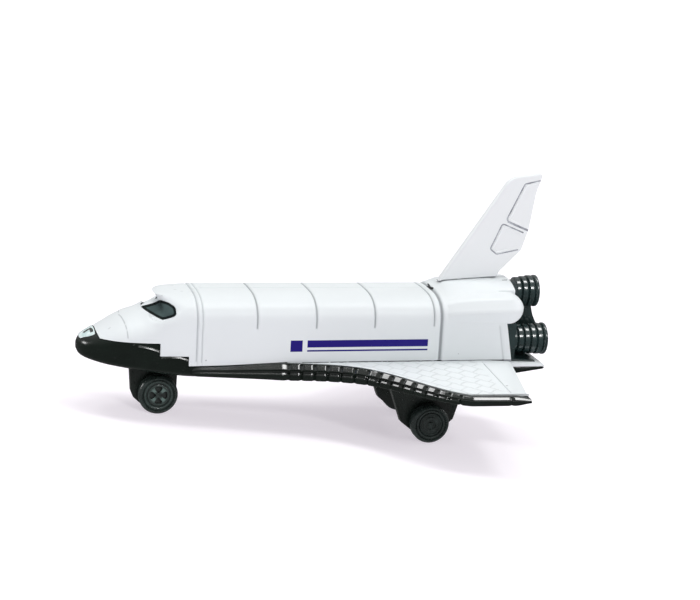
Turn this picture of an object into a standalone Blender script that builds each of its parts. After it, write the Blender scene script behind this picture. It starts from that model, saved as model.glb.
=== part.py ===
"""Pocket-size die-cast toy space shuttle on four free-rolling wheels.

Lengths are written in millimetres and turned into metres as each mesh is made. The body frame has X running
aft from the nose tip, Y to starboard and Z up from the top face of the wing roots. Everything hangs on one
empty, which tips the body nose-down by the toy's own stance and sets the wheels on the floor.
"""
import math

import bmesh
import bpy
from mathutils import Matrix, Vector

MM = 0.001

# Driving dimensions
SEAM = 0.1               # gap between neighbouring pieces
HALF_WIDTH = 8.4         # fuselage
BELLY = -2.85            # flat underside
BELLY_FLAT = 0.55        # share of the half-width that is flat
CHINE_STEPS = 4
ROOF_STEPS = 9
WING_BELLY = -2.62       # underside of the wings and the flap
AFT_END = 72.3           # rear bulkhead at the wing root
BULKHEAD_LEAN = 0.1875   # how far forward the bulkhead leans for each millimetre of height
WING_SPLIT = -1.5        # where the white wing panel rests on the black underside
WING_TOP_ROOT = 0.0
WING_TOP_TIP = -1.15
TIP = 26.1               # wing tip, from the centre
BAR_WIDTH = 1.5          # black leading-edge bar, in plan
BAR_FOOT = 1.9           # how far the bar reaches inward below the white panel
PANEL_ROOT = 7.0         # where the wing panels start inside the fuselage, from the centre
PANEL_SETBACK = 0.3      # how far behind the bar's first ribbed row they start
PANEL_SHORTEST = 0.3     # least chord
UNDER_INSET = 1.2        # from the bar's outer side to the black panel under the wing
LAP = 0.4                # how far white and black solids pass their seam before it parts them
FLAP_START = 69.3
WEDGE_START = 73.3       # where the flap's underside starts to rise
FLAP_END = 78.7          # body flap's rear edge
FLAP_HALF = 7.6
FLAP_TOP = -1.1
WHEEL_RADIUS = 3.25
WHEEL_WIDTH = 2.1
AXLE_RADIUS = 0.5
AXLE_FIT = 0.05          # radial clearance of an axle in its leg, and of a wheel on its axle
AXLE_DEPTH = 1.4         # how deep an axle's end sits in a wheel
FRONT_AXLE = Vector((13.95, 0.0, -6.7))
REAR_AXLE = Vector((58.5, 0.0, -10.45))
FRONT_LEG = (-0.8, 0.8)  # inner and outer face, from the centre
REAR_LEG = (6.4, 8.0)
WHEEL_GAP = 0.3          # between a wheel and its leg
LEG_END_RADIUS = 2.5
TREAD_CHAMFER = 0.25
# Faces round each turned shape
POD_FACES = 16
BORE_FACES = 20
NOZZLE_FACES = 24
LEG_END_FACES = 24
WHEEL_FACES = 32
CORNER_STEPS = 6         # faces round a fin corner
SMOOTH_ANGLE = 35        # degrees, above which an edge stays sharp
MERGE = 0.004            # corners closer than this become one
SLIVER = 0.002
# Limits of the blocks that only cut
FAR_FRONT = -2.0
FAR_AFT = 90.0
FAR_UP = 30.0
FAR_SIDE = 40.0
# Leg plates seen from the side, without their round lower ends: x, height
FRONT_PLATE = [
    (9.2, 0.0),
    (17.4, 0.0),
    (17.2, -7.0),
    (16.0, -8.6),
    (12.6, -9.1),
    (11.2, -8.6),
    (10.1, -7.6),
    (9.7, -6.6),
]
REAR_PLATE = [
    (51.2, BELLY - SEAM),
    (65.1, BELLY - SEAM),
    (63.0, -10.2),
    (60.3, -12.7),
    (56.7, -12.7),
    (54.0, -10.6),
]
STANCE = math.atan2(FRONT_AXLE.z - REAR_AXLE.z, REAR_AXLE.x - FRONT_AXLE.x)

# Hull sections: x, half-width, belly, side's lower end, side's upper end, top, squareness
HULL = [
    (0.60, 0.55, 0.75, 1.10, 1.30, 1.95, 2.0),
    (0.85, 1.50, 0.25, 0.95, 1.25, 2.45, 2.1),
    (1.40, 2.60, -0.15, 0.80, 1.20, 3.00, 2.2),
    (2.40, 3.80, -0.50, 0.65, 1.35, 3.55, 2.2),
    (3.80, 5.00, -0.82, 0.45, 1.60, 4.20, 2.3),
    (5.20, 5.85, -1.08, 0.25, 1.95, 4.95, 2.3),
    (6.80, 6.60, -1.30, 0.05, 2.40, 5.85, 2.3),
    (8.40, 7.15, -1.52, -0.15, 2.80, 6.60, 2.3),
    (10.60, 7.65, -1.83, -0.35, 3.20, 7.35, 2.2),
    (11.40, 7.80, -1.95, -0.42, 3.60, 7.75, 2.15),
    (12.80, 7.95, -2.15, -0.55, 4.05, 8.42, 2.1),
    (13.80, 8.05, -2.32, -0.64, 4.40, 8.92, 2.15),
    (14.00, 8.07, -2.35, -0.66, 4.50, 9.95, 2.6),
    (14.60, 8.13, -2.42, -0.71, 4.70, 10.33, 2.75),
    (15.20, 8.20, -2.48, -0.75, 4.90, 10.47, 2.8),
    (18.00, 8.35, -2.78, -0.95, 5.80, 10.55, 3.0),
    (20.00, 8.40, -2.85, -1.00, 5.90, 10.60, 3.0),
    (58.40, 8.40, -2.85, -1.00, 5.90, 10.60, 3.0),
    (60.40, 8.40, -2.85, -1.00, 5.90, 10.80, 2.8),
    (62.00, 8.40, -2.85, -1.00, 5.90, 11.75, 2.4),
    (72.60, 8.40, -2.85, -1.00, 5.90, 12.45, 2.2),
]

CABIN_ROWS = 18          # rows from the nose to the end of the straight middle

# White above, black below: the seam along the side, as x and height
SIDE_SEAM = [
    (3.5, FAR_UP),
    (3.5, 3.9),
    (4.3, 3.3),
    (13.2, 3.3),
    (13.2, 1.2),
    (17.8, 1.2),
    (17.8, -0.4),
    (24.0, -0.3),
    (34.0, 0.1),
    (34.0, WING_SPLIT),
    (FAR_AFT, WING_SPLIT),
]

# Leading-edge bar: x, distance of its outer side from centre, top, bottom
BAR = [
    (18.3, 8.9, -0.45, -2.00),
    (24.0, 9.2, -0.35, -2.25),
    (30.0, 9.6, -0.10, -2.50),
    (34.0, 10.0, 0.05, -2.67),
    (38.5, 10.6, 0.00, -2.67),
    (42.5, 11.6, -0.05, -2.67),
    (45.6, 13.0, -0.15, -2.67),
    (58.2, 25.0, -1.05, -2.67),
    (60.4, 25.9, -1.15, -2.67),
    (69.3, 26.1, -1.25, -2.67),
]
BAR_RIBBED = (3, 7)      # the rows between which it is ribbed
BAR_RIBS = 14
BAR_GROOVE = 0.14        # share of a rib's length taken by the groove at each of its ends
BAR_GROOVE_DEEP = 0.2
# Section of the bar from below: depth in from its outer side, share of its height
BAR_SECTION = [
    (0.90, 0.00),
    (0.25, 0.16),
    (0.00, 0.42),
    (0.00, 0.64),
    (0.25, 0.88),
    (0.75, 1.00),
]

TRAIL_ROOT = (8.4, 72.3)  # trailing edge of the wing: distance from centre, x
TRAIL_TIP = (26.1, 69.4)
# White wing panel along its chord: share of the chord, how far below the wing's top face
PANEL_TOP = [(0.0, 0.3), (0.02, 0.0), (0.8, 0.0), (1.0, 0.2)]
# Black panel under it: share of the chord, height
PANEL_UNDER = [(1.0, WING_SPLIT - 0.6), (0.8, WING_BELLY), (0.0, WING_BELLY)]

# Rear pods: x, distance of middle from centre, height of middle, half-width, half-height
POD = [
    (60.6, 5.4, 8.6, 2.30, 1.90),
    (61.6, 5.5, 8.6, 2.65, 2.30),
    (63.5, 5.5, 8.6, 3.05, 2.60),
    (66.5, 5.5, 8.7, 3.30, 2.80),
    (72.0, 5.4, 8.8, 3.50, 3.00),
    (73.6, 5.3, 8.8, 3.00, 2.60),
    (74.6, 5.2, 8.8, 1.90, 1.60),
]

# Tail fin outline in the plane of symmetry: x, height, corner radius
FIN = [
    (60.85, 11.18, 0.0),
    (73.0, 29.3, 2.0),
    (78.6, 30.1, 0.5),
    (77.5, 26.9, 0.0),
    (76.6, 20.6, 0.0),
    (75.5, 17.1, 0.5),
    (71.9, 13.5, 0.4),
    (71.4, 12.48, 0.0),
    (62.0, 11.86, 0.0),
]
FIN_THICK = 1.7
FIN_TAPER = 0.6          # its thickness at the tip, as a share of that at the base
FIN_BEVEL = 0.45
FIN_BEVEL_STEPS = 2
FIN_BEVEL_ANGLE = 60     # degrees, above which an edge is taken off

# Outline of the port cabin window: x, y, height. The starboard one mirrors it
WINDOW = [
    (11.50, -0.90, 7.78),
    (13.75, -1.90, 8.95),
    (14.68, -5.72, 9.46),
    (15.56, -6.82, 9.00),
    (15.63, -7.63, 8.07),
    (15.20, -7.70, 7.73),
    (13.69, -6.73, 6.99),
    (12.93, -5.83, 7.20),
]
WINDOW_REACH = 2.0       # how far the cutters stand in and out from the outline
WINDOW_INSET = 0.15
WINDOW_THICK = 0.5

# Deck between the pods, over the engine mount
DECK_START = 66.0
DECK_END = 74.0
DECK_HALF = 4.0
DECK_LOW = 10.5
DECK_HIGH = 11.5

# Engine nozzles: name, y, height, x of the face that it stands on, length
NOZZLES = [
    ("top", 0.0, 9.9, 74.05, 4.6),
    ("port", -3.3, 2.35, 73.6, 5.95),
    ("starboard", 3.3, 2.35, 73.6, 5.95),
]
# Blocks of the engine mount, from the bulkhead back: half-width, bottom, top, rear face
MOUNT_BLOCKS = [
    (6.4, -1.1, 5.7, 73.6),
    (1.5, 5.0, 10.4, 74.05),
]
# Shelf under the lower nozzles, seen from the side: x, height
SHELF = [
    (72.8, -1.10),
    (77.4, -1.10),
    (77.4, -0.80),
    (72.8, -0.30),
]
SHELF_HALF = 6.3
# Upright web between the nozzles, seen from the side: x, height
WEB = [
    (72.8, 7.10),
    (76.3, 7.10),
    (76.4, 6.40),
    (76.8, 5.40),
    (77.4, 4.90),
    (78.9, 4.70),
    (78.9, -0.90),
    (72.8, -0.90),
]
WEB_HALF = 0.3
NOZZLE_COLLAR = (0.5, 2.1)        # plain collar at the throat: length, radius
NOZZLE_RINGS = 4
NOZZLE_FIRST = 0.9                # where the first ring starts
NOZZLE_PLAIN = 0.7                # plain length from the last ring to the rim
NOZZLE_RING_RADII = (2.275, 2.65)  # of the first and the last ring
NOZZLE_RING = 0.22                # how far a ring stands out
NOZZLE_RING_SECTION = [(0.0, 1.0), (0.25, 0.0), (0.65, 0.0), (0.9, 1.0)]  # share of its step, share below
NOZZLE_RIM = 2.7
NOZZLE_RIM_LONG = 0.5
NOZZLE_RIM_WALL = 0.4
NOZZLE_DEPTH = 3.4
NOZZLE_THROAT = 1.1               # radius of the flat end inside

# Wheel from the middle of its outer face to the tread: distance out from that face, radius
WHEEL_FACE = [
    (-0.35, 0.0),
    (-0.35, 1.45),
    (-0.05, 1.55),
    (-0.05, 2.40),
    (-0.25, 2.50),
    (-0.25, 2.62),
    (0.0, 2.72),
]

COLOURS = {
    "white_enamel": ((0.86, 0.87, 0.89), 0.18, 0.0),
    "black_plastic": ((0.018, 0.022, 0.024), 0.28, 0.0),
    "dark_glazing": ((0.04, 0.055, 0.06), 0.12, 0.0),
    "steel": ((0.62, 0.63, 0.64), 0.3, 1.0),
}


def material(name):
    """The material of that name, made the first time it is asked for."""
    found = bpy.data.materials.get(name)
    if found:
        return found
    colour, roughness, metallic = COLOURS[name]
    made = bpy.data.materials.new(name)
    made.use_nodes = True
    shader = made.node_tree.nodes["Principled BSDF"]
    shader.inputs["Base Color"].default_value = (*colour, 1.0)
    shader.inputs["Roughness"].default_value = roughness
    shader.inputs["Metallic"].default_value = metallic
    return made


def make_object(name, bm, finish=None):
    """Turns a bmesh in millimetres into a named object in metres on the stance empty."""
    bmesh.ops.recalc_face_normals(bm, faces=bm.faces)
    bmesh.ops.scale(bm, vec=Vector((MM, MM, MM)), verts=bm.verts)
    mesh = bpy.data.meshes.new(name)
    bm.to_mesh(mesh)
    bm.free()
    made = bpy.data.objects.new(name, mesh)
    bpy.context.scene.collection.objects.link(made)
    if finish:
        mesh.materials.append(material(finish))
        mesh.shade_smooth()
        mesh.set_sharp_from_angle(angle=math.radians(SMOOTH_ANGLE))
    return made


def loft(rings):
    """A closed solid through rings of the same number of points."""
    bm = bmesh.new()
    loops = [[bm.verts.new(point) for point in ring] for ring in rings]
    count = len(loops[0])
    for low, high in zip(loops, loops[1:]):
        for i in range(count):
            j = (i + 1) % count
            bm.faces.new((low[i], low[j], high[j], high[i]))
    bm.faces.new(loops[0][::-1])
    bm.faces.new(loops[-1])
    return bm


def prism(outline, low, high):
    """A solid that carries an outline of x and height from one y to another."""
    return loft([[(x, y, z) for x, z in outline] for y in (low, high)])


def hull_of(points):
    """The convex solid around a set of points."""
    bm = bmesh.new()
    verts = [bm.verts.new(p) for p in points]
    found = bmesh.ops.convex_hull(bm, input=verts)
    loose = {v for v in found["geom_interior"] if isinstance(v, bmesh.types.BMVert)}
    bmesh.ops.delete(bm, geom=list(loose), context="VERTS")
    return bm


def turned(profile, segments):
    """A solid turned about the X axis from a closed profile of distance along it and radius."""
    bm = bmesh.new()
    loops = []
    for along, radius in profile:
        if radius == 0:
            loops.append([bm.verts.new((along, 0, 0))])
            continue
        ring = []
        for i in range(segments):
            a = math.tau * i / segments
            ring.append(bm.verts.new((along, radius * math.cos(a), radius * math.sin(a))))
        loops.append(ring)
    for low, high in zip(loops, loops[1:]):
        for i in range(segments):
            j = (i + 1) % segments
            if len(low) == 1:
                bm.faces.new((low[0], high[j], high[i]))
            elif len(high) == 1:
                bm.faces.new((low[i], low[j], high[0]))
            else:
                bm.faces.new((low[i], low[j], high[j], high[i]))
    return bm


def rounded(outline):
    """An outline whose corners carry a radius, with each such corner as an arc."""
    points = []
    count = len(outline)
    for i, (x, z, radius) in enumerate(outline):
        here = Vector((x, z))
        if radius == 0:
            points.append(tuple(here))
            continue
        before = (Vector(outline[i - 1][:2]) - here).normalized()
        after = (Vector(outline[(i + 1) % count][:2]) - here).normalized()
        half = before.angle(after) / 2
        reach = radius / math.tan(half)
        middle = here + (before + after).normalized() * radius / math.sin(half)
        start = here + before * reach - middle
        turn = (here + after * reach - middle).angle_signed(start)
        for k in range(CORNER_STEPS + 1):
            points.append(tuple(middle + Matrix.Rotation(turn * k / CORNER_STEPS, 2) @ start))
    return points


def boolean(target, other, operation):
    """Cuts or joins another object into the target and takes the other away."""
    step = target.modifiers.new(operation.lower(), "BOOLEAN")
    step.operation = operation
    step.solver = "EXACT"
    step.object = other
    bpy.context.view_layer.update()
    graph = bpy.context.evaluated_depsgraph_get()
    mesh = bpy.data.meshes.new_from_object(target.evaluated_get(graph))
    target.modifiers.clear()
    old = target.data
    target.data = mesh
    mesh.name = target.name
    bpy.data.meshes.remove(old)
    spent = other.data
    bpy.data.objects.remove(other)
    bpy.data.meshes.remove(spent)
    return target


def apply_modifiers(target):
    """Puts the evaluated mesh in place of the base mesh."""
    bpy.context.view_layer.update()
    graph = bpy.context.evaluated_depsgraph_get()
    mesh = bpy.data.meshes.new_from_object(target.evaluated_get(graph))
    target.modifiers.clear()
    target.data = mesh
    return target


def finish_mesh(target, finish):
    """Merges the corners that a Boolean leaves almost together, and gives the finish."""
    bm = bmesh.new()
    bm.from_mesh(target.data)
    bmesh.ops.remove_doubles(bm, verts=bm.verts, dist=MERGE * MM)
    bmesh.ops.dissolve_degenerate(bm, edges=bm.edges, dist=SLIVER * MM)
    bm.to_mesh(target.data)
    bm.free()
    target.data.materials.clear()
    target.data.materials.append(material(finish))
    target.data.shade_smooth()
    target.data.set_sharp_from_angle(angle=math.radians(SMOOTH_ANGLE))
    return target


def hull_ring(row, grow):
    """One closed section of the hull, grown outward all round."""
    x, half, belly, low, high, top, power = row
    half = half + grow
    belly = belly - grow
    top = top + grow
    side = [(0.0, belly)]
    for i in range(CHINE_STEPS + 1):
        a = math.pi / 2 * i / CHINE_STEPS
        y = half * (BELLY_FLAT + (1 - BELLY_FLAT) * math.sin(a))
        side.append((y, low - (low - belly) * math.cos(a)))
    for i in range(ROOF_STEPS):
        a = math.pi / 2 * i / ROOF_STEPS
        y = half * math.cos(a) ** (2 / power)
        z = high + (top - high) * math.sin(a) ** (2 / power)
        side.append((y, z))
    side.append((0.0, top))
    right = [(x, y, z) for y, z in side]
    left = [(x, -y, z) for y, z in side[-2:0:-1]]
    return right + left


def hull_solid(name, grow=0.0, rows=None):
    """The fuselage, white and black together, with all its rows or the first few."""
    rings = [hull_ring(row, grow) for row in HULL[:rows]]
    if grow:
        rings[0] = [(x - grow, y, z) for x, y, z in rings[0]]
        rings[-1] = [(x + grow, y, z) for x, y, z in rings[-1]]
    return make_object(name, loft(rings))


def bulkhead_x(z, gap=0.0):
    """Where the leaning bulkhead is at a height, with a gap behind it."""
    return AFT_END - BULKHEAD_LEAN * z + gap


def bulkhead_cutter(name):
    """Takes off the hull behind the leaning rear bulkhead."""
    low = -FAR_UP
    high = FAR_UP
    outline = [(bulkhead_x(low), low), (FAR_AFT, low), (FAR_AFT, high), (bulkhead_x(high), high)]
    return make_object(name, prism(outline, -FAR_SIDE, FAR_SIDE))


def wing_top(y):
    """Height of the wing's top face at a distance from the centre."""
    share = max(0.0, (y - HALF_WIDTH) / (TIP - HALF_WIDTH))
    return WING_TOP_ROOT + (WING_TOP_TIP - WING_TOP_ROOT) * share


def trail_x(y):
    """Where the trailing edge is at a distance from the centre."""
    share = (y - TRAIL_ROOT[0]) / (TRAIL_TIP[0] - TRAIL_ROOT[0])
    return TRAIL_ROOT[1] + (TRAIL_TIP[1] - TRAIL_ROOT[1]) * share


def inward(rows, i):
    """The direction in plan from the outer side of the bar towards the wing, at one of its rows."""
    ahead = rows[min(i + 1, len(rows) - 1)]
    behind = rows[max(i - 1, 0)]
    along = Vector((ahead[0] - behind[0], ahead[1] - behind[1])).normalized()
    return Vector((along.y, -along.x))


def white_section(y):
    """Section of the white wing panel at a distance from the centre: share of its chord, height."""
    low = WING_SPLIT - LAP
    return [(0.0, low)] + [(share, wing_top(y) - down) for share, down in PANEL_TOP] + [(1.0, low)]


def black_section(y):
    """Section of the black panel under the wing, the same way."""
    high = WING_SPLIT + LAP
    return [(0.0, high), (1.0, high)] + PANEL_UNDER


def wing_panel(name, side, inset, section):
    """A wing panel inside the bar, from its sections along the span."""
    first = BAR_RIBBED[0]
    stations = [(BAR[first][0] + PANEL_SETBACK, PANEL_ROOT)]
    for i in range(first, len(BAR)):
        point = Vector(BAR[i][:2]) + inward(BAR, i) * inset
        stations.append((point.x, point.y))
    rings = []
    for lead, y in stations:
        chord = max(trail_x(y) - lead, PANEL_SHORTEST)
        rings.append([(lead + chord * share, side * y, z) for share, z in section(y)])
    return make_object(name, loft(rings))


def bar_stations():
    """Stations along the leading-edge bar: outer point in plan, inward direction, bottom, top, groove."""
    first, last = BAR_RIBBED
    lengths = [math.dist(a[:2], b[:2]) for a, b in zip(BAR[first:last], BAR[first + 1:last + 1])]
    total = sum(lengths)

    def station(i, share, groove):
        here = Vector(BAR[i])
        facing = inward(BAR, i)
        if share > 0:
            here = here.lerp(Vector(BAR[i + 1]), share)
            facing = facing.lerp(inward(BAR, i + 1), share).normalized()
        return here.xy, facing, here.w, here.z, groove

    ribbed = []
    for rib in range(BAR_RIBS):
        for share, groove in ((0.0, 1.0), (BAR_GROOVE, 0.0), (1.0 - BAR_GROOVE, 0.0)):
            run = total * (rib + share) / BAR_RIBS
            k = 0
            while k < len(lengths) - 1 and run > lengths[k]:
                run -= lengths[k]
                k += 1
            ribbed.append(station(first + k, run / lengths[k], groove))
    head = [station(i, 0, 0.0) for i in range(first)]
    tail = [station(last, 0, 1.0)] + [station(i, 0, 0.0) for i in range(last + 1, len(BAR))]
    return head + ribbed + tail


def leading_bar(name, side):
    """The rounded bar along one wing's leading edge and tip, ribbed along its swept part."""
    rings = []
    foot = WING_SPLIT - SEAM
    for outer, to_wing, low, top, groove in bar_stations():
        deep = groove * BAR_GROOVE_DEEP
        height = top - deep - low
        section = [(BAR_FOOT, low)]
        section += [(depth + deep, low + share * height) for depth, share in BAR_SECTION]
        section += [(BAR_WIDTH, low + height), (BAR_WIDTH, foot), (BAR_FOOT, foot)]
        ring = []
        for depth, z in section:
            point = outer + to_wing * depth
            ring.append((point.x, side * point.y, z))
        rings.append(ring)
    return make_object(name, loft(rings))


def seam_block(name, shift, above):
    """Everything above, or below, the seam between white and black."""
    outline = [(x + shift, z + shift) for x, z in SIDE_SEAM]
    if above:
        outline += [(FAR_AFT, FAR_UP)]
    else:
        outline += [(FAR_AFT, -FAR_UP), (FAR_FRONT, -FAR_UP), (FAR_FRONT, FAR_UP)]
    return make_object(name, prism(outline, -FAR_SIDE, FAR_SIDE))


def make_upper_casting():
    """White casting: fuselage, wing tops, rear pods and the body flap's top."""
    casting = hull_solid("upper_casting")
    boolean(casting, bulkhead_cutter("cut_bulkhead"), "DIFFERENCE")
    for side in (-1, 1):
        rings = []
        for x, y, z, half, tall in POD:
            ring = []
            for i in range(POD_FACES):
                a = math.tau * i / POD_FACES
                ring.append((x, side * (y + half * math.cos(a)), z + tall * math.sin(a)))
            rings.append(ring)
        boolean(casting, make_object("pod", loft(rings)), "UNION")
        boolean(casting, wing_panel("panel", side, BAR_WIDTH + SEAM, white_section), "UNION")
    deck = [(DECK_START, DECK_LOW), (DECK_END, DECK_LOW), (DECK_END, DECK_HIGH), (DECK_START, DECK_HIGH)]
    boolean(casting, make_object("deck", prism(deck, -DECK_HALF, DECK_HALF)), "UNION")
    low = WING_SPLIT - LAP
    flap = [(FLAP_START, low), (FLAP_END, low), (FLAP_END, FLAP_TOP), (FLAP_START, FLAP_TOP)]
    boolean(casting, make_object("flap", prism(flap, -FLAP_HALF, FLAP_HALF)), "UNION")
    boolean(casting, seam_block("white_side", 0.5 * SEAM, True), "INTERSECT")
    return casting


def window_cutter(name, side, grow):
    """A block that goes in square to one window through its outline."""
    outline = [Vector((x, -side * y, z)) for x, y, z in WINDOW]
    middle = sum(outline, Vector()) / len(outline)
    facing = Vector()
    for a, b in zip(outline, outline[1:] + outline[:1]):
        facing += (a - middle).cross(b - middle)
    facing *= -side / facing.length
    rings = []
    for depth in (-WINDOW_REACH, WINDOW_REACH):
        ring = []
        for point in outline:
            away = point - middle
            away -= facing * away.dot(facing)
            ring.append(middle + away * (1 + grow / away.length) + facing * depth)
        rings.append(ring)
    return make_object(name, loft(rings))


def make_windows(casting):
    """Two dark panes, each let into a shallow recess of the cabin."""
    for side, name in ((-1, "window_port"), (1, "window_starboard")):
        recess = window_cutter("recess", side, SEAM)
        boolean(recess, hull_solid("core", -WINDOW_INSET - WINDOW_THICK - SEAM, CABIN_ROWS), "DIFFERENCE")
        boolean(casting, recess, "DIFFERENCE")
        pane = window_cutter(name, side, 0.0)
        boolean(pane, hull_solid("skin", -WINDOW_INSET, CABIN_ROWS), "INTERSECT")
        boolean(pane, hull_solid("core", -WINDOW_INSET - WINDOW_THICK, CABIN_ROWS), "DIFFERENCE")
        finish_mesh(pane, "dark_glazing")


def make_underside():
    """Black underside: nose cap, chin, belly, wing undersides, leading-edge bars and flap wedge."""
    base = hull_solid("underside")
    boolean(base, bulkhead_cutter("cut_bulkhead"), "DIFFERENCE")
    for side in (-1, 1):
        boolean(base, wing_panel("under_panel", side, UNDER_INSET, black_section), "UNION")
    wedge = [
        (FLAP_START, WING_BELLY),
        (WEDGE_START, WING_BELLY),
        (FLAP_END, WING_SPLIT - LAP),
        (FLAP_END, WING_SPLIT + LAP),
        (FLAP_START, WING_SPLIT + LAP),
    ]
    boolean(base, make_object("wedge", prism(wedge, -FLAP_HALF, FLAP_HALF)), "UNION")
    boolean(base, seam_block("black_side", -0.5 * SEAM, False), "INTERSECT")
    for side in (-1, 1):
        boolean(base, leading_bar("bar", side), "UNION")
    return base


def make_fin():
    """Tail fin, a separate piece on the deck, with its edges taken off."""
    outline = rounded(FIN)
    bm = prism(outline, -FIN_THICK / 2, FIN_THICK / 2)
    fin = make_object("tail_fin", bm)
    low = FIN[0][1] * MM
    high = FIN[2][1] * MM
    for v in fin.data.vertices:
        share = (v.co.z - low) / (high - low)
        v.co.y *= 1 - (1 - FIN_TAPER) * share
    edge = fin.modifiers.new("edge", "BEVEL")
    edge.width = FIN_BEVEL * MM
    edge.segments = FIN_BEVEL_STEPS
    edge.limit_method = "ANGLE"
    edge.angle_limit = math.radians(FIN_BEVEL_ANGLE)
    return finish_mesh(apply_modifiers(fin), "white_enamel")


def leg_solid(name, outline, axle, faces):
    """A leg plate: the convex shape around an outline of x and height and a round end about its axle."""
    outline = list(outline)
    for i in range(LEG_END_FACES):
        a = math.tau * i / LEG_END_FACES
        outline.append((axle.x + LEG_END_RADIUS * math.cos(a), axle.z + LEG_END_RADIUS * math.sin(a)))
    leg = make_object(name, hull_of([(x, y, z) for x, z in outline for y in faces]))
    reach = AXLE_RADIUS + AXLE_FIT
    bore = turned([(-FAR_SIDE, 0), (-FAR_SIDE, reach), (FAR_SIDE, reach), (FAR_SIDE, 0)], BORE_FACES)
    turn = Matrix.Rotation(math.pi / 2, 4, "Z")
    bmesh.ops.transform(bore, matrix=Matrix.Translation(axle) @ turn, verts=bore.verts)
    return boolean(leg, make_object("bore", bore), "DIFFERENCE")


def make_legs():
    """One front leg on the centre line and a rear leg under each wing root."""
    front = leg_solid("front_gear_leg", FRONT_PLATE, FRONT_AXLE, FRONT_LEG)
    boolean(front, hull_solid("belly", SEAM, CABIN_ROWS), "DIFFERENCE")
    finish_mesh(front, "black_plastic")
    for side, name in ((-1, "rear_gear_leg_port"), (1, "rear_gear_leg_starboard")):
        faces = [side * y for y in REAR_LEG]
        leg = leg_solid(name, REAR_PLATE, REAR_AXLE, faces)
        finish_mesh(leg, "black_plastic")


def wheel_mesh():
    """A wheel turned about its axle: closed stepped face outside, blind bore inside. Outer face at zero."""
    r = WHEEL_RADIUS
    w = WHEEL_WIDTH
    bore = AXLE_RADIUS + AXLE_FIT
    profile = WHEEL_FACE + [
        (0.0, r - TREAD_CHAMFER),
        (-TREAD_CHAMFER, r),
        (-w + TREAD_CHAMFER, r),
        (-w, r - TREAD_CHAMFER),
        (-w, bore),
        (-w + AXLE_DEPTH, bore),
        (-w + AXLE_DEPTH, 0),
    ]
    return turned(profile, WHEEL_FACES)


def make_wheelset(name, middle, legs_outer):
    """An axle and its two wheels, with their origins on the axle's line."""
    inner = legs_outer + WHEEL_GAP
    outer = inner + WHEEL_WIDTH
    end = inner + AXLE_DEPTH - SEAM
    rod = turned([(-end, 0), (-end, AXLE_RADIUS), (end, AXLE_RADIUS), (end, 0)], BORE_FACES)
    quarter = Matrix.Rotation(math.pi / 2, 4, "Z")
    bmesh.ops.transform(rod, matrix=quarter, verts=rod.verts)
    axle = make_object(f"{name}_axle", rod, "steel")
    axle.location = middle * MM
    for side, word in ((-1, "port"), (1, "starboard")):
        bm = wheel_mesh()
        facing = Matrix.Rotation(side * math.pi / 2, 4, "Z")
        bmesh.ops.transform(bm, matrix=facing, verts=bm.verts)
        wheel = make_object(f"{name}_wheel_{word}", bm, "black_plastic")
        wheel.location = (middle + Vector((0, side * outer, 0))) * MM


def nozzle_mesh(length):
    """A ribbed engine nozzle turned about its axis, open at its rear."""
    step = (length - NOZZLE_FIRST - NOZZLE_PLAIN) / NOZZLE_RINGS
    collar, radius = NOZZLE_COLLAR
    outside = [(0.0, 0), (0.0, radius), (collar, radius)]
    first, last = NOZZLE_RING_RADII
    for ring in range(NOZZLE_RINGS):
        radius = first + (last - first) * ring / (NOZZLE_RINGS - 1)
        for share, down in NOZZLE_RING_SECTION:
            outside.append((NOZZLE_FIRST + (ring + share) * step, radius - down * NOZZLE_RING))
    rim = [
        (length - NOZZLE_RIM_LONG, NOZZLE_RIM),
        (length, NOZZLE_RIM),
        (length, NOZZLE_RIM - NOZZLE_RIM_WALL),
        (length - NOZZLE_DEPTH, NOZZLE_THROAT),
        (length - NOZZLE_DEPTH, 0),
    ]
    return turned(outside + rim, NOZZLE_FACES)


def make_engines():
    """Engine mount on the bulkhead with the web between the nozzles, and three nozzles behind it."""
    mount = make_object("engine_mount", prism(WEB, -WEB_HALF, WEB_HALF))
    boolean(mount, make_object("shelf", prism(SHELF, -SHELF_HALF, SHELF_HALF)), "UNION")
    for half, low, high, face in MOUNT_BLOCKS:
        outline = [(bulkhead_x(low, SEAM), low), (face, low), (face, high), (bulkhead_x(high, SEAM), high)]
        boolean(mount, make_object("block", prism(outline, -half, half)), "UNION")
    finish_mesh(mount, "black_plastic")
    for name, y, z, face, length in NOZZLES:
        nozzle = make_object(f"engine_nozzle_{name}", nozzle_mesh(length), "black_plastic")
        nozzle.location = Vector((face + SEAM, y, z)) * MM


def centre_on_floor(stance):
    """Tips the body into its stance, sets the wheels on the floor and the middle of the box on the origin."""
    for made in list(bpy.context.scene.objects):
        if made.parent is None and made is not stance:
            made.parent = stance
    stance.rotation_euler = (0, -STANCE, 0)
    bpy.context.view_layer.update()
    corners = []
    for made in bpy.context.scene.objects:
        if made.type == "MESH":
            corners += [made.matrix_world @ v.co for v in made.data.vertices]
    low = Vector([min(c[i] for c in corners) for i in range(3)])
    high = Vector([max(c[i] for c in corners) for i in range(3)])
    stance.location = (-(low.x + high.x) / 2, 0, -low.z)
    bpy.context.view_layer.update()


def main():
    """Builds the toy from an empty scene."""
    for old in list(bpy.data.objects):
        bpy.data.objects.remove(old)
    stance = bpy.data.objects.new("stance", None)
    bpy.context.scene.collection.objects.link(stance)
    casting = make_upper_casting()
    make_windows(casting)
    finish_mesh(casting, "white_enamel")
    finish_mesh(make_underside(), "black_plastic")
    make_fin()
    make_legs()
    make_wheelset("front", FRONT_AXLE, FRONT_LEG[1])
    make_wheelset("rear", REAR_AXLE, REAR_LEG[1])
    make_engines()
    centre_on_floor(stance)


main()
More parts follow.
